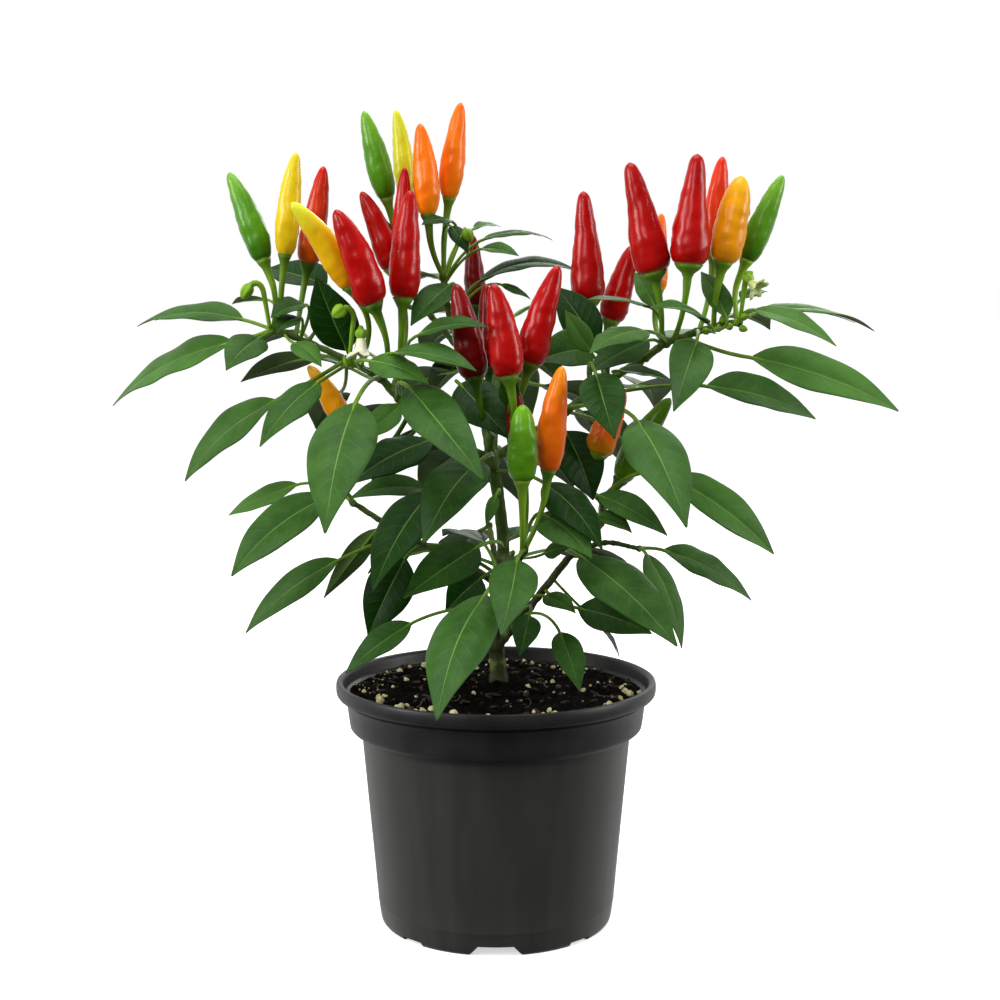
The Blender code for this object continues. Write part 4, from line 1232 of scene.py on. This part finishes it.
def leaf(number, foot, base, tip, width, arch, facing, tone):
    """A blade on its midrib, and the petiole that runs on below it, in one piece."""
    draw = random.Random(500 + number)
    base, tip, facing = Vector(base), Vector(tip), Vector(facing).normalized()
    chord = (tip - base).normalized()
    rise = (facing - chord * facing.dot(chord)).normalized()
    crown = (base + tip) / 2 + rise * arch
    fold, droop = draw.uniform(0.10, 0.34), draw.uniform(0.0, 0.28)
    twist = draw.uniform(-0.35, 0.35)
    wave, waves, start = draw.uniform(0.02, 0.07), draw.uniform(1.6, 3.2), draw.uniform(0, 6.3)
    sickle = draw.uniform(-0.05, 0.05) * (tip - base).length
    given = HABIT.get(number, (None, None, None))
    fold, droop, sickle = (a if a is not None else b for a, b in zip(given, (fold, droop, sickle)))

    def spine(along):
        """The midrib's place at a share of the blade, and the blade's two directions there."""
        centre = base.lerp(crown, along).lerp(crown.lerp(tip, along), along)
        tangent = (crown - base).lerp(tip - crown, along).normalized()
        side = tangent.cross(facing).normalized()
        up = side.cross(tangent)
        turn = twist * (along - 0.3)
        cos, sin = math.cos(turn), math.sin(turn)
        side, up = side * cos + up * sin, up * cos - side * sin
        return centre + side * (sickle * math.sin(math.pi * along) * 0.5), side, up

    made = copy_of(blade, f"leaf_{number:02d}")
    half = width / 2
    for vertex in made.data.vertices:
        x, y, z = vertex.co
        along = min(1.0, max(0.0, y))
        centre, side, up = spine(along)
        out = abs(x) * 2
        ripple = wave * math.sin(waves * 2 * math.pi * along + start + (1.9 if x > 0 else 0)) * out**2
        lift = fold * out - droop * out**2.6 + ripple * math.sin(math.pi * along)
        vertex.co = (centre + side * (x * width) + up * (lift * half + z * width)) * MM
    # the tone is the leaf's age and, when low, painted shade for a leaf deep inside the plant
    marked(made, "tone", tone + draw.uniform(-0.06, 0.06))

    line = stalk_line(foot, base, (crown - base).normalized(), 12)
    split = len(line)
    for i in range(1, 11):
        centre, side, up = spine(i / 10 * RIB_REACH)
        line.append(centre - up * (0.034 * width + 0.12))
    neck = length_of(line[:split]) / length_of(line)
    thick = 0.42 + 0.018 * width
    table = [
        (0.0, thick * 1.5), (0.05, thick * 1.1), (neck * 0.9, thick), (neck + 0.04, thick * 0.95),
        (neck + (1 - neck) * 0.5, thick * 0.55), (1.0, 0.1),
    ]
    petiole = carried(rod, f"petiole_{number:02d}", line, lambda s: max(0.1, between(table, s)), facing)
    # the petiole follows its leaf's tone, painted shade included
    marked(coated(petiole, stalk_green), "tone", 0.30 + 0.4 * tone)
    return smooth(joined(f"leaf_{number:02d}", [made, petiole]))


leaves = [leaf(number, *row) for number, row in enumerate(LEAVES, 1)]
print(len(leaves), "leaves with", sum(len(p.data.polygons) for p in leaves), "faces")

# %% [markdown]
# ## Root threads
# A few pale root threads cross the peat near the trunk. They are thin rods that follow the soil.
# %% Roots and fibres
draw = random.Random(31)
threads = []
for i in range(10):
    start = on_soil(draw, 12, 54, 0)
    heading, length = draw.uniform(0, 6.3), draw.uniform(5, 16)
    line = []
    for step in range(9):
        heading += draw.uniform(-0.35, 0.35)
        x = start.x + math.cos(heading) * length * step / 8
        y = start.y + math.sin(heading) * length * step / 8
        if math.hypot(x, y) > SOIL_REACH:
            break
        line.append(Vector((x, y, soil_height(x, y) + 0.35)))
    if len(line) > 3:
        thick = draw.uniform(0.16, 0.34)
        threads.append(carried(rod, f"thread_{i}", line, lambda s, t=thick: t * (1.1 - s * 0.8)))
roots = smooth(coated(joined("root_threads", threads), root_pale))
print("roots:", len(roots.data.polygons), "faces")

# %% [markdown]
# ## Buds and flowers
# New flowers hang from hooked stalks: first a fat ribbed bud, then a small bell of five pale petals
# that curl back. A bud is a copy of the pod's template, short and ribbed; the bell is a spun outline
# with its edge pulled into five points.
# %% How a hook, a bud and a bell are made
def hooked(name, points, thick):
    """A stalk that thickens towards its flower."""
    line = curve_through([Vector(p) for p in points])
    made = carried(rod, name, line, lambda s: thick * (0.85 + 0.5 * s * s))
    return marked(coated(made, stalk_green), "tone", 0.85)


def bud(name, at, heading, length, wide, tone):
    """A closed flower: the pod's template made short, fat and five-ribbed."""
    heading = Vector(heading).normalized()
    side = heading.orthogonal().normalized()
    across = heading.cross(side)
    made = copy_of(pod_template, name)
    for vertex in made.data.vertices:
        x, y, z = vertex.co
        turn = math.atan2(y, x)
        shape = math.sin(math.pi * (0.06 + 0.94 * z) ** 0.8) ** 0.55 if z < 1 else 0.05
        radius = wide / 2 * max(0.05, shape) * (1 + 0.10 * math.cos(5 * turn))
        out = Vector((x, y, 0))
        out = out.normalized() if out.length else out
        vertex.co = (Vector(at) + heading * (length * z) + (side * out.x + across * out.y) * radius) * MM
    return marked(coated(made, stalk_green), "tone", tone)


def bell(name, at, heading, length, wide, white):
    """A five-pointed flower with its tips curled back, from greenish (0) to white (1)."""
    heading = Vector(heading).normalized()
    side = heading.orthogonal().normalized()
    across = heading.cross(side)
    outline = [(0.0, 0.0), (0.25, 0.02), (0.38, 0.2), (0.48, 0.5), (0.72, 0.8), (1.0, 0.92), (1.12, 0.84)]
    inside = [(0.95, 0.84), (0.68, 0.72), (0.40, 0.5), (0.28, 0.24), (0.0, 0.12)]
    made = turned(name, outline + inside, 30)
    for vertex in made.data.vertices:
        x, y, z = vertex.co / MM
        turn = math.atan2(y, x)
        radius = math.hypot(x, y)
        star = 1 + 0.33 * max(0, radius - 0.3) * math.cos(5 * turn)
        drop = z + 0.18 * max(0, radius - 0.4) * math.cos(5 * turn)
        vertex.co = (Vector(at) + heading * (length * drop) + (side * x + across * y) * star * wide / 2) * MM
    return marked(coated(made, petal_white), "share", white)


print("a bud starts from the", len(pod_template.data.vertices), "points of the pod")

# %% Place the buds and flowers
flower_parts = {
    "bud_far_left": [
        hooked(
            "hook", [(-90, -1, 242), (-91, -4, 251), (-92, -6, 257.5), (-94.5, -7, 259.5), (-97, -7, 258)], 1.0),
        bud("bud_a", (-96.6, -7, 258.8), (-0.6, 0, -1), 6.5, 4.8, 0.9),
    ],
    "flower_left": [
        hooked(
            "hook", [(-58, -8, 227), (-56, -16, 240), (-55, -20, 247), (-57, -22, 250), (-59, -22, 249)], 0.95),
        bud("bud_b", (-58.2, -22, 250), (-0.8, 0, -0.6), 6.0, 5.2, 1.0),
        hooked("hook2", [(-57, -6, 226), (-54, -14, 236), (-52.5, -18, 242), (-52.2, -20, 241)], 0.9),
        bud("bud_c", (-52.2, -20, 241.8), (0.0, -0.1, -1), 4.4, 4.8, 0.95),
        bell("bell_a", (-52.2, -20, 239), (0, -0.15, -1), 8.6, 9.4, 0.75),
        bud("bud_d", (-58, -10, 227), (-0.3, -0.4, 1), 5.0, 2.8, 0.7),
        bud("bud_e", (-54, -9, 226), (0.5, -0.6, 0.8), 4.2, 2.6, 0.75),
        bud("bud_f", (-49, -8, 225), (0.7, -0.4, 0.9), 3.6, 2.4, 0.7),
    ],
    "bud_top": [
        hooked("hook", [(-20, 6, 262), (-16, 2, 272), (-13, 0, 279), (-12, -1, 281)], 0.6),
        bud("bud_g", (-12, -1, 280.5), (0.4, 0, -1), 5.5, 4.4, 0.6),
    ],
    "flower_right": [
        hooked("hook", [(97, 0, 244), (97.5, -3, 251), (98, -5, 258), (98.6, -6, 261)], 0.95),
        bud("bud_h", (98.3, -5.6, 262.6), (0.5, -0.3, -0.8), 4.6, 4.4, 1.0),
        bell("bell_b", (99.3, -6.3, 260.4), (0.6, -0.5, -0.55), 6.4, 7.8, 0.35),
        bud("bud_i", (98, -5, 262), (0.5, -0.2, 0.3), 3.8, 3.0, 0.9),
        bud("bud_j", (97, -2, 246), (0.9, -0.5, 0.2), 3.6, 3.0, 0.75),
    ],
    "buds_right_node": [
        bud(f"bud_r{i}", at, heading, 3.6, 2.8, 0.95)
        for i, (at, heading) in enumerate([
            ((84, -1, 240), (-0.4, -0.8, 0.3)), ((88, 0, 241), (0.2, -0.9, 0.4)),
            ((92, 0, 242), (0.5, -0.8, 0.2)), ((95, 1, 243), (0.2, -0.8, 0.6)),
            ((90, -1, 244), (0.1, -0.5, 1.0)), ((97, 0, 242), (0.8, -0.5, -0.3)),
        ])
    ],
    "buds_inside": [
        bud("bud_k", (-57, -6, 172), (-0.3, -0.7, 0.6), 4.0, 2.6, 0.6),
        bud("bud_l", (-2, -3, 166), (-0.5, -0.8, 0.4), 4.2, 2.4, 0.7),
        bud("bud_m", (6, -12, 152), (0.3, -0.8, 0.6), 4.0, 2.4, 0.7),
        bud("bud_n", (43, 8, 172), (0.4, -0.6, 0.8), 4.0, 2.4, 0.6),
        bud("bud_o", (2, 48, 238), (0.2, 0.8, 0.6), 4.4, 2.8, 0.7),
    ],
}
flowers = [smooth(joined(name, pieces)) for name, pieces in flower_parts.items()]
print(len(flowers), "groups of buds")

# %% [markdown]
# ## Clearing the bench
# The straight templates were only patterns to copy, so they are taken away before the pieces ride on
# the frame.
# %% Remove the templates
for template in (rod, pod_template, blade):
    bpy.data.objects.remove(template)

# %% [markdown]
# ## Joining the frame
# Each piece rides on the one body, and the solid that it stands for, if any, is hidden.
# %% Ride and replace
def stands(piece, slot, *nodes):
    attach(piece, "root")
    if nodes:
        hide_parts(*nodes)


stands(pot, "pot_plastic", "pot")
stands(soil, "peat", "soil")
stands(perlite, "peat")
stands(bark, "peat")
stands(roots, "peat")
stands(stem, "stem_green", "stem")
for number, (pod, stalk, row) in enumerate(zip(pods, stalks, CHILLIES), 1):
    nodes = [f"chilli_{number:02d}"] if f"chilli_{number:02d}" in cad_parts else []
    stands(pod, SLOT_OF[row[4]], *nodes)
    stands(stalk, "stem_green", *nodes)
for number, piece in enumerate(leaves, 1):
    stands(piece, "leaf_green", *([f"leaf_{number:02d}"] if number <= IN_MODEL else []))
for piece in flowers:
    stands(piece, "stem_green")
print("pieces:", 6 + 2 * len(pods) + len(leaves) + len(flowers))

# %% [markdown]
# ## Floor and light
# The plant stands on a plain white floor under soft light: a broad lamp overhead, a small softbox on
# each side that sets the highlights on the pods and the pale edges of the pot, and weaker ones in
# front and behind. The world behind is white.
# %% Floor
nothing()
bpy.ops.mesh.primitive_plane_add(size=30, location=(0, 0, 0))
floor = bpy.context.active_object
floor.name = "floor"
edit(floor)
everything()
bpy.ops.mesh.subdivide(number_cuts=3)
done()
white = Finish("floor_white", 0.7, Specular_IOR_Level=0.2)
white.colour(white.blend(white.noise(2.0), (0.86, 0.86, 0.86), (0.88, 0.88, 0.88)))
white.shader.inputs["Emission Color"].default_value = (1, 1, 1, 1)
white.shader.inputs["Emission Strength"].default_value = 0.58
floor.data.materials.append(white.made)
floor.visible_diffuse = floor.visible_glossy = False
floor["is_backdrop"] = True

# %% Lamps
MIDDLE = Vector((0, 0, 0.2))  # of the plant, where the lamps look


def softbox(name, place, size, watts):
    """A rectangular lamp that looks at the middle of the plant."""
    data = bpy.data.lights.new(name, "AREA")
    data.shape, (data.size, data.size_y), data.energy = "RECTANGLE", size, watts
    lamp = bpy.data.objects.new(name, data)
    scene.collection.objects.link(lamp)
    lamp.location = place
    lamp.rotation_euler = (MIDDLE - Vector(place)).to_track_quat("-Z", "Y").to_euler()


softbox("overhead", (0.0, -0.1, 1.3), (1.0, 0.8), 9)
softbox("left_box", (-0.85, -0.35, 0.5), (0.35, 0.45), 6)
softbox("right_box", (0.9, -0.15, 0.45), (0.35, 0.5), 4.5)
softbox("front_box", (-0.35, -1.0, 0.75), (0.4, 0.4), 3)
softbox("back_box", (0.25, 1.1, 0.8), (0.7, 0.5), 3.5)

# %% World
world = bpy.data.worlds.new("world")
scene.world = world
world.use_nodes = True
nodes, links = world.node_tree.nodes, world.node_tree.links


def add(kind, **inputs):
    """Adds a node to the world; a keyword sets a socket to a number or links an output to it."""
    made = nodes.new(f"ShaderNode{kind}")
    for name, value in inputs.items():
        socket = made.inputs[int(name[1:]) if name[1:].isdigit() else name.replace("_", " ")]
        if isinstance(value, bpy.types.NodeSocket):
            links.new(value, socket)
        else:
            socket.default_value = value
    return made


def bright(kind_of_step, value, **limits):
    """A white light whose strength follows a value."""
    step = add("MapRange", Value=value, **limits)
    step.interpolation_type = kind_of_step
    return add("Background", i1=step.outputs[0]).outputs[0]


where = add("SeparateXYZ", i0=add("TexCoord").outputs["Generated"]).outputs
# what falls on the plant comes mostly from above
soft = bright("LINEAR", where[2], To_Min=0.22, To_Max=0.95)
# what shines back from it is a dark room in front and a bright wall behind
shine = bright("SMOOTHSTEP", where[1], From_Min=-0.35, From_Max=0.75, To_Min=0.03, To_Max=1.1)
seen = nodes["Background"]
seen.inputs[0].default_value, seen.inputs[1].default_value = (1, 1, 1, 1), 1.0
path = add("LightPath")
unseen = add("MixShader", i0=path.outputs["Is Glossy Ray"], i1=soft, i2=shine)
pick = add("MixShader", i0=path.outputs["Is Camera Ray"], i1=unseen.outputs[0], i2=seen.outputs[0])
links.new(pick.outputs[0], nodes["World Output"].inputs[0])
scene.view_settings.view_transform = "Standard"
print("the world has", len(nodes), "nodes")

# %% [markdown]
# ## Sizes
# The detailed plant must fill the same box as the solid model, so both boxes are printed, to be
# compared.
# %% Print the sizes
low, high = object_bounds()
for name, box in (("solid", (*cad_low, *cad_high)), ("visual", (*low, *high))):
    print(name, [round(v / MM, 1) for v in box])
